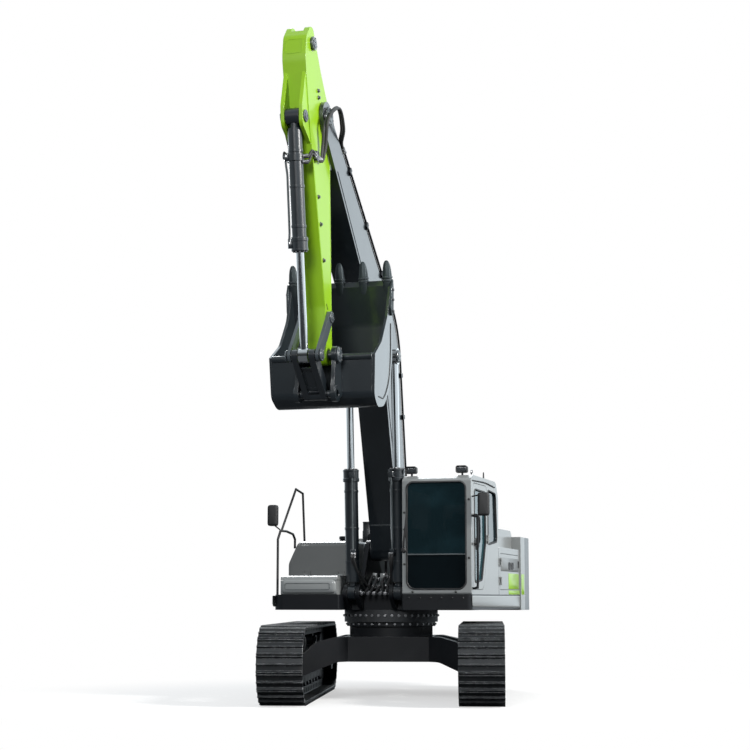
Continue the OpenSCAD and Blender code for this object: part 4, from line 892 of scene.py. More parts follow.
def slats(name, low, high, count, place, material, body, deep):
    """A grille: level blades, each a leaning strip with rolled edges, between two corners of a plane."""
    z = np.linspace(low[1], high[1], count + 1)
    row = np.array([(0, 0.002), (0.25, deep * 0.3), (0.62, deep), (0.80, deep), (0.86, deep * 0.85),
                    (0.86, 0.001)])
    row[:, 0] *= z[1] - z[0]
    faces = grid_faces(2, 6)[:, ::-1].tolist() + [[5, 4, 3, 2, 1, 0], [6, 7, 8, 9, 10, 11]]
    parts = []
    for start in z[:-1]:
        p = np.vstack([columns(x, start + row[:, 0], row[:, 1]) for x in (low[0], high[0])])
        parts.append((place(p), faces))
    return merged(name, parts, material, body)


# Radiator door and what lies round it: the green panel, a grey band, two air slots and a latch
left_side, right_side = on_left(DECK), on_right(-DECK)
GREEN = {"green_panel": (1.440, 2.215, 1.525, 1.757, DECK, "radiator_door"),
         "green_panel_low": (1.440, 2.280, 1.445, 1.507, DECK, "upper"),
         "green_panel_rear": (2.345, 2.560, 1.445, 1.757, 1.440, "upper")}
for word, (y0, y1, z0, z1, x, body) in GREEN.items():
    loop = rounded_loop(y1 - y0, z1 - z0, 0.010) + [(y0 + y1) / 2, (z0 + z1) / 2]
    panel(word, loop, FLUSH, on_left(x), lime, body)
panel("radiator_band", rounded_loop(1.330, 0.200, 0.012) + [1.540, 1.885], FLUSH, left_side, tank_paint,
      "radiator_door")
# Air slots: a rubber rim, and a dark closed face that is painted shade for the opening
for k, y in enumerate((1.50, 1.72)):
    panel(f"air_slot_rim_and_shade_{k}", rounded_loop(0.14, 0.11, 0.03) + [y, 1.868],
          [(0, 0.003), (0, 0.007), (0.006, 0.009), (0.012, 0.004)], left_side, seal, "radiator_door")
for word, place, x, z, body in (("radiator_latch", left_side, 2.190, 1.90, "radiator_door"),
                                ("pump_latch", right_side, -2.165, 1.80, "pump_door")):
    panel(word, rounded_loop(0.06, 0.11, 0.015) + [x, z],
          [(0, 0), (0, 0.006), (0.006, 0.010), (0.012, 0.006)], place, plastic, body)
slats("pump_grille", (-2.10, 1.625), (-1.30, 1.900), 10, right_side, plastic, "pump_door", 0.008)
# Hood: pressed ribs, louvres, a grab handle
for k, x in enumerate((-0.22, 0.18, 0.58, 0.98)):
    panel(f"hood_rib_{k}", rounded_loop(0.27, 0.62, 0.05) + [x, 1.78],
          [(0, 0), (0.004, 0.008), (0.016, 0.013), (0.05, 0.014)], on_top(HOOD_TOP), silver, "engine_hood")
slats("hood_louvres", (-0.50, HOOD_TOP - 0.235), (1.15, HOOD_TOP - 0.090), 6, on_front(-1.250), plastic,
      "engine_hood", 0.007)
bow = [(1.18, 1.252, 2.18), (1.18, 1.20, 2.195), (1.26, 1.20, 2.195), (1.26, 1.252, 2.18)]
tubes("hood_handle", [bow], 0.010, black, "engine_hood", 8, 0.02)
# Counterweight: rear reflectors, red lenses with a faint painted glow
WEIGHT_R = 3.300
for k, x in enumerate((-1.05, 1.05)):
    # Painted glow: the reflectors are no lamps, yet their lenses glow faintly
    red = lens(f"red_lens_painted_glow_{k}", (0.55, 0.02, 0.02), 0.05)
    panel(f"rear_reflector_{k}", rounded_loop(0.16, 0.055, 0.01) + [-x, 1.52],
          [(0, 0), (0, 0.006), (0.008, 0.010)], on_back(-math.sqrt(WEIGHT_R**2 - x * x) - 0.002), red,
          "upper")
# Toolbox: tread strips on the lid, a pressed front with a round edge, and a ring of creases painted darker as
# their shade
BOX_X, BOX_Z = -0.892, 1.552
for k in range(5):
    panel(f"lid_tread_{k}", rounded_loop(0.66, 0.040, 0.012) + [BOX_X, -(0.50 + 0.115 * k)], FLUSH,
          on_top(LID_TOP), seal, "tool_box_lid")
box_front = on_front(1.070)
panel("box_front", rounded_loop(0.800, 0.185, 0.060) + [BOX_X, BOX_Z],
      [(0, 0), (0.002, 0.010), (0.010, 0.020), (0.030, 0.028), (0.055, 0.031)], box_front, silver, "upper")
# Painted shade: the crease ring is a raised dark slate line
panel("box_crease_shade", rounded_loop(0.660, 0.098, 0.034) + [BOX_X - 0.008, BOX_Z],
      [(0, 0.024), (0.002, 0.035), (0.008, 0.035), (0.010, 0.024)], box_front, slate, "upper", cap=False)
# Fuel tank: filler neck with its cap, and three treads
TANK_X, FILLER_Y = -0.80, 0.35
FILLER = (([(0.085, 0), (0.085, 0.03), (0.070, 0.034), (0.070, 0.06)], 36),
          ([(0.082, 0.045), (0.086, 0.050), (0.086, 0.082), (0.078, 0.092), (0.02, 0.096)], 24))
necks = [turned_arrays(rows, (TANK_X, FILLER_Y, TANK_TOP), UP, sides) for rows, sides in FILLER]
merged("filler_cap", necks, black, "upper")
for k, y in enumerate((-0.09, 0.21, 0.75)):
    panel(f"tank_tread_{k}", rounded_loop(0.60, 0.16, 0.02) + [TANK_X, y],
          [(0, 0), (0, 0.003), (0.003, 0.004)], on_top(TANK_TOP), seal, "upper")
# Deck: bolts along its front, and the painted skirts on both sides
at = columns(np.linspace(0.55, 1.30, 6), -1.0803, 1.395)
bolts("skirt_bolts_front", at, (0, -1, 0), 0.011, black, "upper")
SKIRT = fillet([(1.055, 1.425, 0.015), (1.055, 1.275, 0.06), (-2.280, 1.245, 0.04), (-2.280, 1.425, 0.015)])
for s, word in SIDES[::-1]:
    place = left_side if s > 0 else right_side
    panel(f"side_skirt_{word}", ccw(SKIRT * [-s, 1]), [(0, 0), (0, 0.004), (0.006, 0.008), (0.016, 0.009)],
          place, silver, "upper")
STACK = [(0.074, 0), (0.074, 0.02), (0.0715, 0.03), (0.0715, 0.10), (0.078, 0.11), (0.078, 0.28),
         (0.0715, 0.29), (0.0715, 0.40), (0.075, 0.41), (0.075, 0.42), (0.064, 0.42), (0.063, 0.33)]
turned("stack_jacket", STACK, (-0.760, 1.400, BODY_TOP), UP, 40, cast_steel, "upper")


# Boom

BOOM_SIDE, KNEE, KNEE_UP = 0.2105, 2.750, 1.500
RISE = (KNEE_UP - 0.225) / (KNEE + 0.165)
FALL = (KNEE_UP - 0.215) / (BOOM_LEN - 0.200 - KNEE)


def boom_skin(a):
    """Height of the boom's top over its pin line: two straight lines and the round between them."""
    a = np.asarray(a, float)
    y = np.minimum(KNEE_UP - (KNEE - a) * RISE, KNEE_UP - (a - KNEE) * FALL)
    return y - 0.085 * np.clip(1 - np.abs(a - KNEE) / 0.44, 0, 1) ** 2


PIPE_X, PIPE_UP = (0.182, 0.214), 0.072
PIPE_START, PIPE_END = 0.60, 5.80


def over_boom(x, a, up=PIPE_UP):
    """Points over the boom's top at distances a along it."""
    return on_boom(columns(x, a, boom_skin(a) + up))


def top_ways(slope):
    """Directions along and out of the boom's top, where it lies at an angle to the pin line."""
    slope = np.asarray(slope, float)
    return (dirs(on_boom, columns(0, np.cos(slope), np.sin(slope))),
            dirs(on_boom, columns(0, -np.sin(slope), np.cos(slope))))


a = np.concatenate([np.linspace(PIPE_START, 2.2, 7), np.linspace(2.4, 3.1, 5), np.linspace(3.4, PIPE_END, 8)])
paths = [over_boom(s * x, a) for s in (-1, 1) for x in PIPE_X]
boom_pipes = tubes("boom_pipes", paths, 0.0145, black, "boom", 12, 0.10)
CLAMP_H = 0.092
clamp = panel_arrays(rounded_loop(0.080, 0.070, 0.015), [(0, 0), (0, 0.084), (0.006, CLAMP_H)])
s, a = combined((-1, 1), (0.9, 1.6, 2.15, 3.75, 4.6, 5.5))
at = over_boom(s * 0.198, a, -0.002)
y, z = top_ways(np.arctan(np.where(a < KNEE, RISE, -FALL)))
mesh_piece("boom_clamps", *copies(clamp, (at, np.cross(y, z), y, z)), black, "boom")
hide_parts("boom_lines")
bolts("boom_clamp_bolts", at + z * CLAMP_H, z, 0.010, zinc, "boom")


def pin_caps(word, place, p, x, r, count, body):
    """A pin's two ends: bevelled collars with a keeper plate and its bolts."""
    rows = [(r, 0), (r, 0.012), (r - 0.006, 0.018), (r * 0.62, 0.018), (r * 0.58, 0.026), (r * 0.20, 0.028),
            (r * 0.16, 0.020)]
    a = np.arange(count) * tau / count + 0.4
    for s, side in SIDES:
        d = dirs(place, (s, 0, 0))
        turned(f"{word}_cap_{side}", rows, place((s * x, *p)), d, 36, link_paint, body)
        ring = place(columns(s * x, p[0] + r * 0.80 * np.cos(a), p[1] + r * 0.80 * np.sin(a))) + d * 0.018
        bolts(f"{word}_cap_{side}_bolts", ring, d, r * 0.085, zinc, body)


BOOM_FEET, BOOM_EYE = (0.800, 1.470), (2.700, 0.740)
ARM_FOOT, ARM_EYE = (3.150, 1.530), (-0.850, 0.370)
BUCKET_FOOT, LINK_EYE = (0.110, 0.690), (ARM_LEN + 0.0236, 0.51634)
# Pins: the place, the point along and above it, the face, the collar's radius, bolts and the body
PINS = {
    "arm_pivot": (on_boom, (BOOM_LEN, 0), 0.2355, 0.118, 6, "boom"),
    "arm_cylinder": (on_boom, ARM_FOOT, 0.1505, 0.085, 4, "boom"),
    "boom_rod": (on_boom, BOOM_EYE, 0.3845, 0.090, 4, "boom_rods"),
    "bucket_pin": (on_arm, (ARM_LEN, 0), 0.2805, 0.100, 6, "arm"),
    "arm_rod": (on_arm, ARM_EYE, 0.1705, 0.088, 4, "arm"),
    "bucket_cylinder": (on_arm, BUCKET_FOOT, 0.1405, 0.078, 4, "arm"),
    "idler": (on_arm, (ARM_LEN - 0.470, 0.020), 0.2005, 0.072, 4, "arm"),
    "boom_cylinder": (on_upper, BOOM_FEET, 0.4405, 0.080, 4, "upper"),
    "boom_foot": (on_upper, FOOT, 0.3365, 0.100, 6, "upper"),
}
for word, row in PINS.items():
    pin_caps(word, *row)
# Weld seams of the boom's side plates: thin beads a little in from its edges
LOW_EDGE = [(0.30, -0.075), (1.30, 0.245), (2.20, 0.470), (2.75, 0.560), (3.30, 0.520), (4.4, 0.285),
            (5.7, 0.0)]
a, low = np.array(LOW_EDGE).T
for s, word in SIDES:
    bead = on_boom(columns(s * BOOM_SIDE, a, low + 0.030))
    tubes(f"boom_bead_{word}", [bead], 0.006, charcoal, "boom", 6, 0.15)
# Seam across the boom's lower plate, above its foot
seam = on_boom(columns((-0.190, -0.060, 0.060, 0.190), 0.450, -0.064))
tubes("boom_cross_bead", [seam], 0.008, slate, "boom", 8, 0.1)
# Work lamp on the boom's left side: a rim round its block and a lens, looking ahead and down
face = flat(on_boom((0.255, 2.995, 0.800)), (1, 0, 0), dirs(on_boom, (0, 1, 0)))
panel("boom_lamp_rim", rounded_loop(0.110, 0.100, 0.022),
      [(0, -0.05), (0, 0.008), (0.006, 0.012), (0.013, 0.003)], face, plastic, "boom", cap=False)
panel("boom_lamp_lens", rounded_loop(0.086, 0.076, 0.014), [(0, 0.0015), (0.004, 0.006), (0.02, 0.009)], face,
      lamp_lens, "boom")
bracket = on_boom([(0.211, 2.90, 0.86), (0.25, 2.92, 0.86), (0.255, 2.962, 0.86)])
tubes("boom_lamp_bracket", [bracket], 0.012, black, "boom", 8, 0.02)


# Cylinders

def side_point(place, p):
    """(forward, up) in the row frame of a part's (along, above) point."""
    q = place((0.0, *p))
    return np.array([-q[1], q[2]])


class Cylinder:
    """A hydraulic cylinder from base pin to rod eye: sizes, and a place whose forward runs along it."""

    def __init__(self, word, base, eye, sides, r, rod_r, length, body, turn, low=0.300):
        d = eye - base
        self.word, self.sides, self.body = word, sides, body
        self.r, self.rod_r, self.length = r, rod_r, length
        self.turn, self.low = turn, low
        self.place = side_place(tuple(base), math.atan2(d[1], d[0]))

    def turn_at(self, x):
        """Where the pipe lies round the barrel, from its upper side to -X; of a pair, as mirror images."""
        return -self.turn if x < 0 else self.turn

    def round_at(self, x, up, s):
        """The point at distance s along the barrel on x, up over its skin where the pipe lies."""
        r, turn = self.r + up, self.turn_at(x)
        return self.place((x - r * math.sin(turn), s, r * math.cos(turn)))

    def port(self, x, s):
        """Where a hose screws in: a point on the barrel's port block."""
        return self.round_at(x, 0.065, s)

    def dress(self):
        """Gland ring with its bolts, wiper, bands, port blocks and the pipe that feeds the rod's end."""
        r, rod_r, end, low = self.r, self.rod_r, self.length, self.low
        collar = [(r + 0.010, end - 0.168), (r + 0.020, end - 0.160), (r + 0.020, end - 0.120),
                  (r + 0.013, end - 0.114)]
        gland = [(r + 0.010, end - 0.030), (r + 0.0175, end - 0.026), (r + 0.0175, end - 0.004),
                 (r + 0.012, end + 0.002), (rod_r + 0.024, end + 0.003), (rod_r + 0.022, end + 0.016),
                 (rod_r + 0.003, end + 0.020)]
        bands = [[(r, s - 0.018), (r + 0.006, s - 0.016), (r + 0.006, s + 0.016), (r, s + 0.018)]
                 for s in (0.42, end * 0.52, end - 0.30)]
        # The pipe's run: distance along the barrel, height over its skin
        run = [(end - 0.095, 0.040), (end - 0.150, 0.040), (end - 0.22, 0.030), (end * 0.5, 0.026),
               (low + 0.20, 0.026), (low + 0.10, 0.036), (low + 0.035, 0.040)]
        axis = dirs(self.place, (0, 1, 0))
        a = np.arange(10) * tau / 10
        bolt_ring = (r + rod_r) / 2 + 0.012
        p, faces = block_arrays((-0.038, -0.042, r - 0.02), (0.038, 0.042, r + 0.055), 0.008)
        rings, heads, pipes, blocks = [], [], [], []
        for x in self.sides:
            o = self.place((x, 0, 0))
            rings += [turned_arrays(rows, o, axis, 40) for rows in (collar, gland)]
            rings += [turned_arrays(rows, o, axis, 36) for rows in bands]
            heads.append(self.place(columns(x + bolt_ring * np.cos(a), end + 0.003, bolt_ring * np.sin(a))))
            c, s = math.cos(self.turn_at(x)), math.sin(self.turn_at(x))
            for at in (low, end - 0.075):
                block = columns(x + p[:, 0] * c - p[:, 2] * s, at + p[:, 1], p[:, 0] * s + p[:, 2] * c)
                blocks.append((self.place(block), faces))
            pipes.append([self.round_at(x, up, at) for at, up in run])
        merged(f"{self.word}_rings", rings, charcoal, self.body)
        merged(f"{self.word}_ports", blocks, charcoal, self.body)
        tubes(f"{self.word}_pipe", pipes, 0.0135, slate, self.body, 10, 0.06)
        bolts(f"{self.word}_bolts", np.vstack(heads), axis, 0.011, zinc, self.body)


BOOM_CYLINDER_X = 0.330
boom_cylinder = Cylinder("boom_cylinder", side_point(on_upper, BOOM_FEET), side_point(on_boom, BOOM_EYE),
                         (-BOOM_CYLINDER_X, BOOM_CYLINDER_X), 0.095, 0.052, 1.700, "boom_barrels",
                         tau * 0.44, 0.560)
arm_cylinder = Cylinder("arm_cylinder", side_point(on_boom, ARM_FOOT), side_point(on_arm, ARM_EYE), (0,),
                        0.100, 0.058, 2.450, "arm_barrel", 0.0)
bucket_cylinder = Cylinder("bucket_cylinder", side_point(on_arm, BUCKET_FOOT), side_point(on_arm, LINK_EYE),
                           (0,), 0.088, 0.050, 1.640, "bucket_barrel", tau * 0.19, 0.500)
for cylinder in (boom_cylinder, arm_cylinder, bucket_cylinder):
    cylinder.dress()
# A wide band where the bucket cylinder's hoses screw in
r, place = bucket_cylinder.r, bucket_cylinder.place
band = [(r, 0.455), (r + 0.014, 0.458), (r + 0.014, 0.542), (r, 0.545)]
turned("bucket_cylinder_band", band, place((0, 0, 0)), dirs(place, (0, 1, 0)), 36, charcoal, "bucket_barrel")


# Hoses

# A sleeve and a nut: radius and height, in radii of the hose
SLEEVE = [(0.9, 0), (1.45, 0.15), (1.45, 1.6), (1.25, 1.75), (1.25, 3.3), (1.38, 3.4), (1.38, 4.6),
          (1.05, 4.8)]
START, END, SLEEVE_BACK = (0, 3), (-1, -4), 0.3


def sleeves(curves, radius, ends):
    """Crimped sleeves at ends of the curves; an end is the number of its point and of one further in."""
    rows = [(r * radius, (h - SLEEVE_BACK) * radius) for r, h in SLEEVE]
    return [turned_arrays(rows, c[k], c[j] - c[k], 12) for c in curves for k, j in ends]


def flexible(name, paths, radius, first, last):
    """Hoses that run between two bodies, with a crimped sleeve and a nut at both ends of each."""
    curves = [along(p, 0.035) for p in paths]
    piece = merged(name, [tube_arrays(c, radius, 12) for c in curves], hose, None)
    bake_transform(piece)
    for word, body, end in (("first", first, START), ("last", last, END)):
        merged(f"{name}_{word}_ends", sleeves(curves, radius, [end]), zinc, body)


def fixed_hoses(name, paths, radius, body):
    """Hoses that stay on one body, with the same sleeves."""
    curves = [along(p, 0.03) for p in paths]
    merged(name, [tube_arrays(c, radius, 12) for c in curves], hose, body)
    merged(name + "_ends", sleeves(curves, radius, (START, END)), zinc, body)


HOSE_R, THIN_R = 0.019, 0.016
up_way, down_way = top_ways(math.atan(RISE))[0], top_ways(-math.atan(FALL))[0]

# From the valves' top to the pipes at the boom's foot
ends = [over_boom(s * x, PIPE_START) for s in (-1, 1) for x in PIPE_X]
paths = []
for x, end in zip((-0.135, -0.060, 0.060, 0.135), ends):
    paths.append([(x, 0.21, 1.665), (x * 1.1, 0.25, 1.86), (x * 1.2, 0.335, 2.17),
                  (end[0] * 0.9, 0.325, 2.45), end - up_way * 0.20, end])
flexible("boom_foot_hoses", paths, HOSE_R, "upper", "boom")

# To the boom cylinders: from the valves' front, in a loop to each barrel's lower port
paths = []
for s in (-1, 1):
    port = boom_cylinder.port(s * BOOM_CYLINDER_X, boom_cylinder.low)
    for k, (x, z) in enumerate(((0.075, 1.530), (0.135, 1.515))):
        paths.append([(s * x, -0.380, z), (s * x, -0.48, z - 0.01),
                      (s * (x + 0.08), -0.62 - 0.03 * k, z + 0.02),
                      port + [s * (0.012 - 0.028 * k), -0.01, -0.12],
                      port + [s * (0.016 - 0.034 * k), 0.0, -0.01]])
flexible("boom_cylinder_hoses", paths, THIN_R, "upper", "boom_barrels")

# Hoses from the valves' top over their front and down to the deck, and the valves' heads and pale caps
paths = []
for k, x in enumerate((-0.145, -0.080, -0.020, 0.045, 0.095, 0.150)):
    z, odd = 1.690 - 0.035 * (k % 3), k % 2
    paths.append([(x, -0.375, z), (x, -0.44, z), (x + 0.02 * (k % 3 - 1), -0.52 - 0.03 * odd, z - 0.06),
                  (x * 1.15, -0.60 - 0.03 * odd, 1.53), (x * 1.3, -0.70, 1.47 + 0.015 * odd),
                  (x * 1.4, -0.82, 1.455)])
fixed_hoses("swivel_hoses", paths, 0.017, "upper")
HEAD = [(0.020, 0), (0.020, 0.02), (0.014, 0.024), (0.014, 0.05), (0.018, 0.052), (0.018, 0.07),
        (0.006, 0.076)]
heads = [turned_arrays(HEAD, (x, -0.380, z), (0, -1, 0), 12)
         for x in (-0.145, -0.085, -0.025, 0.035, 0.095, 0.150) for z in (1.500, 1.560)]
merged("valve_heads", heads, zinc, "upper")
CAPS = ((-0.170, -0.110, 1.745), (-0.060, 0.010, 1.74), (0.120, 0.175, 1.75))
blocks = [block_arrays((x0, -0.375, 1.66), (x1, -0.30, top), 0.006) for x0, x1, top in CAPS]
merged("valve_caps", blocks, silver, "upper")

# From the boom's pipes round the arm's pivot to the manifolds on the arm's sides
MANIFOLD = np.array([0.56, 0.375])
paths = []
for s in (-1, 1):
    for k, x in enumerate(PIPE_X):
        start = over_boom(s * x, PIPE_END)
        out = s * (0.245 + 0.045 * k)
        loop = on_boom([(out, 6.16, 0.40 - 0.05 * k), (out + s * 0.02, 6.46, 0.30 - 0.06 * k)])
        drop = on_arm([(out, 0.10 - 0.04 * k, 0.20), (s * (0.205 + 0.03 * k), 0.42, 0.22 - 0.03 * k),
                       (s * (0.190 + 0.01 * k), 0.60, 0.26 - 0.03 * k),
                       (s * 0.172, MANIFOLD[0] + 0.03 * k, MANIFOLD[1] - 0.05)])
        paths.append([start, start + down_way * 0.16, *loop, *drop])
flexible("boom_tip_hoses", paths, HOSE_R, "boom", "arm")

# From the manifolds to the bucket cylinder: one on the right, two on the left
paths = []
for s, k in ((-1, 0), (1, 0), (1, 1)):
    port = bucket_cylinder.place((s * (bucket_cylinder.r + 0.005), 0.49 + 0.07 * k, 0.02))
    start = on_arm((s * 0.174, MANIFOLD[0] - 0.02 + 0.04 * k, MANIFOLD[1] + 0.05))
    paths.append([start, start + dirs(on_arm, (s * 0.010, -0.01, 0.08)),
                  start + dirs(on_arm, (s * 0.004, -0.02, 0.15)),
                  port + dirs(on_arm, (s * 0.06, 0.01, -0.02)), port])
flexible("bucket_cylinder_hoses", paths, THIN_R, "arm", "bucket_barrel")
half = np.array([0.024, 0.045, 0.065])
at = [on_arm((s * 0.1725, *MANIFOLD)) for s in (-1, 1)]
merged("arm_manifolds", [block_arrays(c - half, c + half, 0.008) for c in at], charcoal, "arm")

# From the boom's pipes to the arm cylinder
paths = []
up = dirs(on_boom, (0, 0.2, 1.0))
for s in (-1, 1):
    port = arm_cylinder.port(s * 0.018, arm_cylinder.low)
    a = over_boom(s * PIPE_X[0], 3.75, 0.075)
    paths.append([a, a - down_way * 0.10 + up * 0.03, a - down_way * 0.16 + up * 0.16,
                  port + dirs(arm_cylinder.place, (s * 0.09, 0.0, 0.14)),
                  port + dirs(arm_cylinder.place, (s * 0.01, 0.0, 0.09)), port])
flexible("arm_cylinder_hoses", paths, THIN_R, "boom", "arm_barrel")


# Arm

ARM_HALF, ARM_SIDE = 0.150, 0.1503
ARM_FRONT = [(-1.060, 0.420), (-0.900, 0.590), (-0.640, 0.650), (0.150, 0.545), (0.700, 0.440),
             (2.400, 0.110), (3.130, 0.100)]
ARM_BACK = [(0.06, -0.265), (0.60, -0.250), (ARM_LEN + 0.13, -0.130)]


def arm_front(a):
    """Height of the arm's front face over its pin line."""
    return np.interp(a, *np.array(ARM_FRONT).T)


def front_plane(a, da=0.02):
    """The arm's front face about a point on its middle: outlines are in (x, back along the arm)."""
    t = dirs(on_arm, (0, -2 * da, arm_front(a - da) - arm_front(a + da)))
    return flat(on_arm((0, a, arm_front(a))), (-1, 0, 0), t / np.linalg.norm(t))


panel("arm_head_plate", rounded_loop(0.215, 0.185, 0.035), [(0, -0.003), (0, 0.005), (0.003, 0.007)],
      front_plane(-0.775), lime, "arm")
panel("arm_tip_boss", rounded_loop(0.270, 0.235, 0.020), [(0, -0.003), (0, 0.004), (0.004, 0.006)],
      front_plane(2.930), lime, "arm")
# Painted shade: thin black strips across the arm's front face, at the tip's steps, stand for their shadow
# lines
line = rounded_loop(0.268, 0.007, 0.003, 2)
strips = [panel_arrays(line, [(0, 0), (0, 0.0075), (0.002, 0.008)], front_plane(a))
          for a in (2.822, 2.882, 2.944)]
merged("arm_tip_shade_lines", strips, seal, "arm")
STUD = [(0.030, 0), (0.030, 0.006), (0.020, 0.010), (0.020, 0.024), (0.008, 0.028)]
SPOTS = [(-0.300, 0.175), (-0.215, 0.165)] + [(a, arm_front(a) - 0.10) for a in (1.047, 1.380, 1.823)]
bead_a = np.linspace(0.35, 2.70, 12)
for s, word in SIDES:
    studs = [turned_arrays(STUD, on_arm((s * ARM_SIDE, *p)), (s, 0, 0), 16) for p in SPOTS]
    merged(f"arm_studs_{word}", studs, charcoal, "arm")
    grease = on_arm([(s * ARM_HALF, 2.36, 0.045), (s * ARM_HALF, 2.39, 0.030), (s * ARM_HALF, 2.43, 0.0)])
    tubes(f"arm_grease_{word}", [grease], 0.006, black, "arm", 8, 0.01)
    # Weld beads of the arm's side plates, a little in from their edges
    edges = (np.interp(bead_a, *np.array(ARM_BACK).T) + 0.018, arm_front(bead_a) - 0.018)
    paths = [on_arm(columns(s * ARM_SIDE, bead_a, edge)) for edge in edges]
    tubes(f"arm_beads_{word}", paths, 0.005, lime, "arm", 6, 0.2)

# Links: webs and pads between the power link's bars, and the pin's caps
EYE, TOE = np.array(LINK_EYE), np.array([ARM_LEN + 0.48462, 0.07243])
run = (TOE - EYE) / np.linalg.norm(TOE - EYE)
out = np.array([-run[1], run[0]])
down = dirs(on_arm, (0, *run))
for word, side, h in (("outer", 1, 0.056), ("inner", -1, 0.040)):
    place = flat(on_arm((0, *(EYE + run * 0.350 + side * out * h))), (-side, 0, 0), -down)
    panel(f"power_link_{word}_web", rounded_loop(0.150, 0.405, 0.03),
          [(0, -0.02), (0, 0.006), (0.004, 0.010)], place, charcoal, "power_link")
    panel(f"power_link_{word}_pad", rounded_loop(0.104, 0.270, 0.02),
          [(0, 0.006), (0, 0.014), (0.004, 0.018)], place, link_paint, "power_link")
pin_caps("link", on_arm, LINK_EYE, 0.2145, 0.076, 4, "power_link")


# Bucket

BUCKET_HALF, LIP, LEAN = 0.700, (1.445, 0.184), 50 / 856


def bucket_side(n):
    """Half the bucket's width at a height over its tooth line: its sides close in towards the back."""
    return BUCKET_HALF - (np.asarray(n, float) - LIP[1]) * LEAN


# A tooth's holder and point: share of the length, half width, half thickness, rib
TOOTH = [(0.00, 0.030, 0.030, 0), (0.02, 0.044, 0.046, 0), (0.22, 0.056, 0.062, 0), (0.40, 0.058, 0.066, 0),
         (0.41, 0.064, 0.072, 0), (0.45, 0.064, 0.072, 0), (0.46, 0.055, 0.062, 0), (0.485, 0.055, 0.062, 0),
         (0.495, 0.063, 0.070, 0), (0.535, 0.063, 0.069, 0), (0.545, 0.056, 0.060, 0.004),
         (0.62, 0.055, 0.054, 0.010), (0.74, 0.052, 0.043, 0.013), (0.86, 0.045, 0.030, 0.012),
         (0.94, 0.034, 0.020, 0.008), (0.985, 0.021, 0.012, 0.003), (1.0, 0.008, 0.005, 0)]
TOOTH_BASE, TOOTH_TIP = np.array([1.318, 0.338]), np.array([1.630, 0.0])
SQUARE = 0.55


def tooth_arrays(x):
    """A holder and its point: squarish sections along the tooth, a collar between them, a rib on the point.

    A section's point at angle a: (w * cos^0.55 a, h * sin^0.55 a + rib), w and h shrinking to the tip."""
    length = np.linalg.norm(TOOTH_TIP - TOOTH_BASE)
    t = (TOOTH_TIP - TOOTH_BASE) / length
    q = np.array([-t[1], t[0]])
    a = np.linspace(0, tau, 28, endpoint=False)
    c, s = np.cos(a), np.sin(a)
    u, v = np.sign(c) * np.abs(c) ** SQUARE, np.sign(s) * np.abs(s) ** SQUARE
    rib = np.sign(s) * np.clip(1 - np.abs(u) / 0.55, 0, 1)
    rings = []
    for share, w, h, ridge in TOOTH:
        p = TOOTH_BASE + t * length * share + (h * v + ridge * rib)[:, None] * q
        rings.append(np.column_stack([x + w * u, p]))
    return on_bucket(np.vstack(rings)), closed_faces(len(TOOTH), len(a))


PITCH_X = (2 * BUCKET_HALF - 0.110) / 4
points = [tooth_arrays(i * PITCH_X) for i in range(-2, 3)]
teeth = merged("tooth_points", points, tooth_steel, "bucket", normals=True)
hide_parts("bucket_teeth")
# Rim: a round bar along the top edge, outside the ears
paths = [on_bucket(columns((s * 0.264, s * 0.45, s * 0.662), 0.102, 0.158)) for s in (-1, 1)]
tubes("bucket_rim", paths, 0.046, bucket_paint, "bucket", 20, 0.1)
# Dark lines inside the back edge of both sides, painted as the shadow of a slit there, and the cutters' bolts
BACK = [(1.060, 0.610), (0.700, 0.900), (0.330, 1.040), (-0.060, 0.950), (-0.260, 0.700)]
edge = along(BACK, 0.03)
d = np.gradient(edge, axis=0)
d /= np.linalg.norm(d, axis=1)[:, None]
seam = edge + columns(-d[:, 1], d[:, 0]) * 0.115
cutter = np.array([[1.330, 0.245], [1.235, 0.330], [1.130, 0.435]])
for s, word in SIDES:
    on_side = on_bucket(np.column_stack([s * (bucket_side(seam[:, 1]) + 0.0005), seam]))
    mesh_piece(f"side_shadow_line_{word}", *tube_arrays(on_side, 0.009, 6), seal, "bucket")
    at = on_bucket(np.column_stack([s * (bucket_side(cutter[:, 1]) + 0.0252), cutter]))
    bolts(f"cutter_bolts_{word}", at, dirs(on_bucket, (s, 0, LEAN)), 0.020, zinc, "bucket")
# Wear strips across the belly
strips = []
for p in np.array([[(1.060, 0.640), (0.960, 0.730)], [(0.760, 0.868), (0.640, 0.945)]]):
    d = (p[1] - p[0]) / np.linalg.norm(p[1] - p[0])
    place = flat(on_bucket((0, *p.mean(0))), dirs(on_bucket, (1, 0, 0)), dirs(on_bucket, (0, *d)))
    rows = [(0, -0.02), (0, 0.008), (0.003, 0.011)]
    strips.append(panel_arrays(rounded_loop(1.16, 0.10, 0.01), rows, place))
merged("belly_strips", strips, bucket_paint, "bucket", normals=True)


# Stage: floor, light and camera

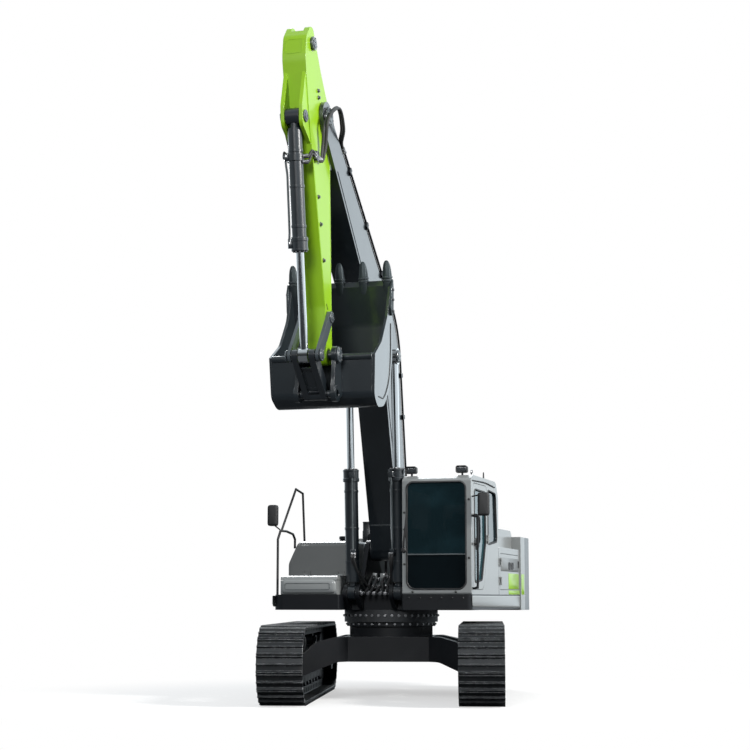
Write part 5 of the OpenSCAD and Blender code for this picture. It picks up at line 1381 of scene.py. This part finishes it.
def floor_material():
    """White to the camera, with a faint shadow near the machine; dull to reflections and to bounced light."""
    m = Shade("floor_white")
    ray = m.tree.nodes.new("ShaderNodeLightPath")
    far = m.node("ShaderNodeVectorMath", {"operation": "LENGTH"}, [m.place()], "Value").step(3.0, 6.5)
    shadow = m.node("ShaderNodeBsdfDiffuse", {}, {"Color": (0.92, 0.92, 0.92, 1)}, "BSDF")
    white = m.node("ShaderNodeEmission", {}, {"Color": (1, 1, 1, 1), "Strength": 1.0}, "Emission")
    dull = m.node("ShaderNodeBsdfDiffuse", {}, {"Color": (0.07, 0.075, 0.08, 1)}, "BSDF")
    seen = m.node("ShaderNodeMixShader", {}, [0.55 + far * 0.45, shadow, white], "Shader")
    camera_ray = Value(m, ray.outputs["Is Camera Ray"])
    shader = m.node("ShaderNodeMixShader", {}, [camera_ray, dull, seen], "Shader")
    m.node("ShaderNodeOutputMaterial", {}, [shader])
    return m.material


GROUND = 80.0
floor_mesh = bpy.data.meshes.new("floor")
corners = [(-GROUND, -GROUND, 0), (GROUND, -GROUND, 0), (GROUND, GROUND, 0), (-GROUND, GROUND, 0)]
floor_mesh.from_pydata(corners, [], [(0, 1, 2, 3)])
floor = bpy.data.objects.new("floor", floor_mesh)
bpy.context.scene.collection.objects.link(floor)
floor_mesh.materials.append(floor_material())

# World: white to the camera; reflections see a bright sky behind, above and beside, and a dark front
sky = Shade("studio", bpy.data.worlds)
path = sky.tree.nodes.new("ShaderNodeLightPath")
camera_ray, through_ray = (Value(sky, path.outputs[f"Is {kind} Ray"]) for kind in ("Camera", "Transmission"))
white_to = (camera_ray + through_ray).clamp()
way = sky.node("ShaderNodeTexCoord", out="Generated")
behind, above = way.part(1).step(0.05, 0.70), way.part(2).step(0.30, 0.95)
beside = way.part(0).step(0.22, 0.45) * 0.75 + (way.part(0) * -1).step(0.40, 0.60) * 0.40
glow = 0.03 + behind * 1.30 + above * 0.55 + beside * (1 - behind)
soft, bright, white = (
    sky.node("ShaderNodeBackground", {}, {"Color": colour, "Strength": strength}, "Background")
    for colour, strength in (((0.84, 0.93, 1.0, 1), 0.42), ((0.84, 0.94, 1.0, 1), glow), ((1, 1, 1, 1), 1.0)))
lit = sky.node("ShaderNodeMixShader", {}, [Value(sky, path.outputs["Is Glossy Ray"]), soft, bright], "Shader")
sky.node("ShaderNodeOutputWorld", {}, [sky.node("ShaderNodeMixShader", {}, [white_to, lit, white], "Shader")])
bpy.context.scene.world = sky.material


def lamp(name, at, to, size, power, colour=(1, 1, 1)):
    """A large soft lamp that looks from one point to another."""
    data = bpy.data.lights.new(name, "AREA")
    data.shape, data.size, data.energy, data.color = "DISK", size, power, colour
    obj = bpy.data.objects.new(name, data)
    bpy.context.scene.collection.objects.link(obj)
    obj.location = at
    obj.rotation_euler = (Vector(to) - Vector(at)).to_track_quat("-Z", "Y").to_euler()


lamp("key_lamp", (19, -5, 12), (0, -1, 3.5), 4, 6000, (1.0, 0.98, 0.95))
lamp("front_lamp", (2, -24, 12), (0, -1, 2.5), 7, 3200, (0.98, 0.99, 1.0))
lamp("back_lamp", (-6, 16, 14), (0, 0, 3), 8, 2000)

# Camera: found from the photo; the focal length is in widths of the picture
YAW, PITCH, FOCAL, SENSOR = math.radians(-15.99), math.radians(7.77), 1636 / 750, 36
camera = bpy.data.cameras.new("camera")
camera.sensor_fit = "HORIZONTAL"
camera.sensor_width = SENSOR
camera.lens = SENSOR * FOCAL
camera.clip_end = 500
eye = bpy.data.objects.new("camera", camera)
bpy.context.scene.collection.objects.link(eye)
eye.location = (6.28, -22.757, 1.39)
look = Vector((math.sin(YAW) * math.cos(PITCH), math.cos(YAW) * math.cos(PITCH), math.sin(PITCH)))
eye.rotation_euler = look.to_track_quat("-Z", "Y").to_euler()
bpy.context.scene.camera = eye
bpy.context.scene.view_settings.view_transform = "Standard"
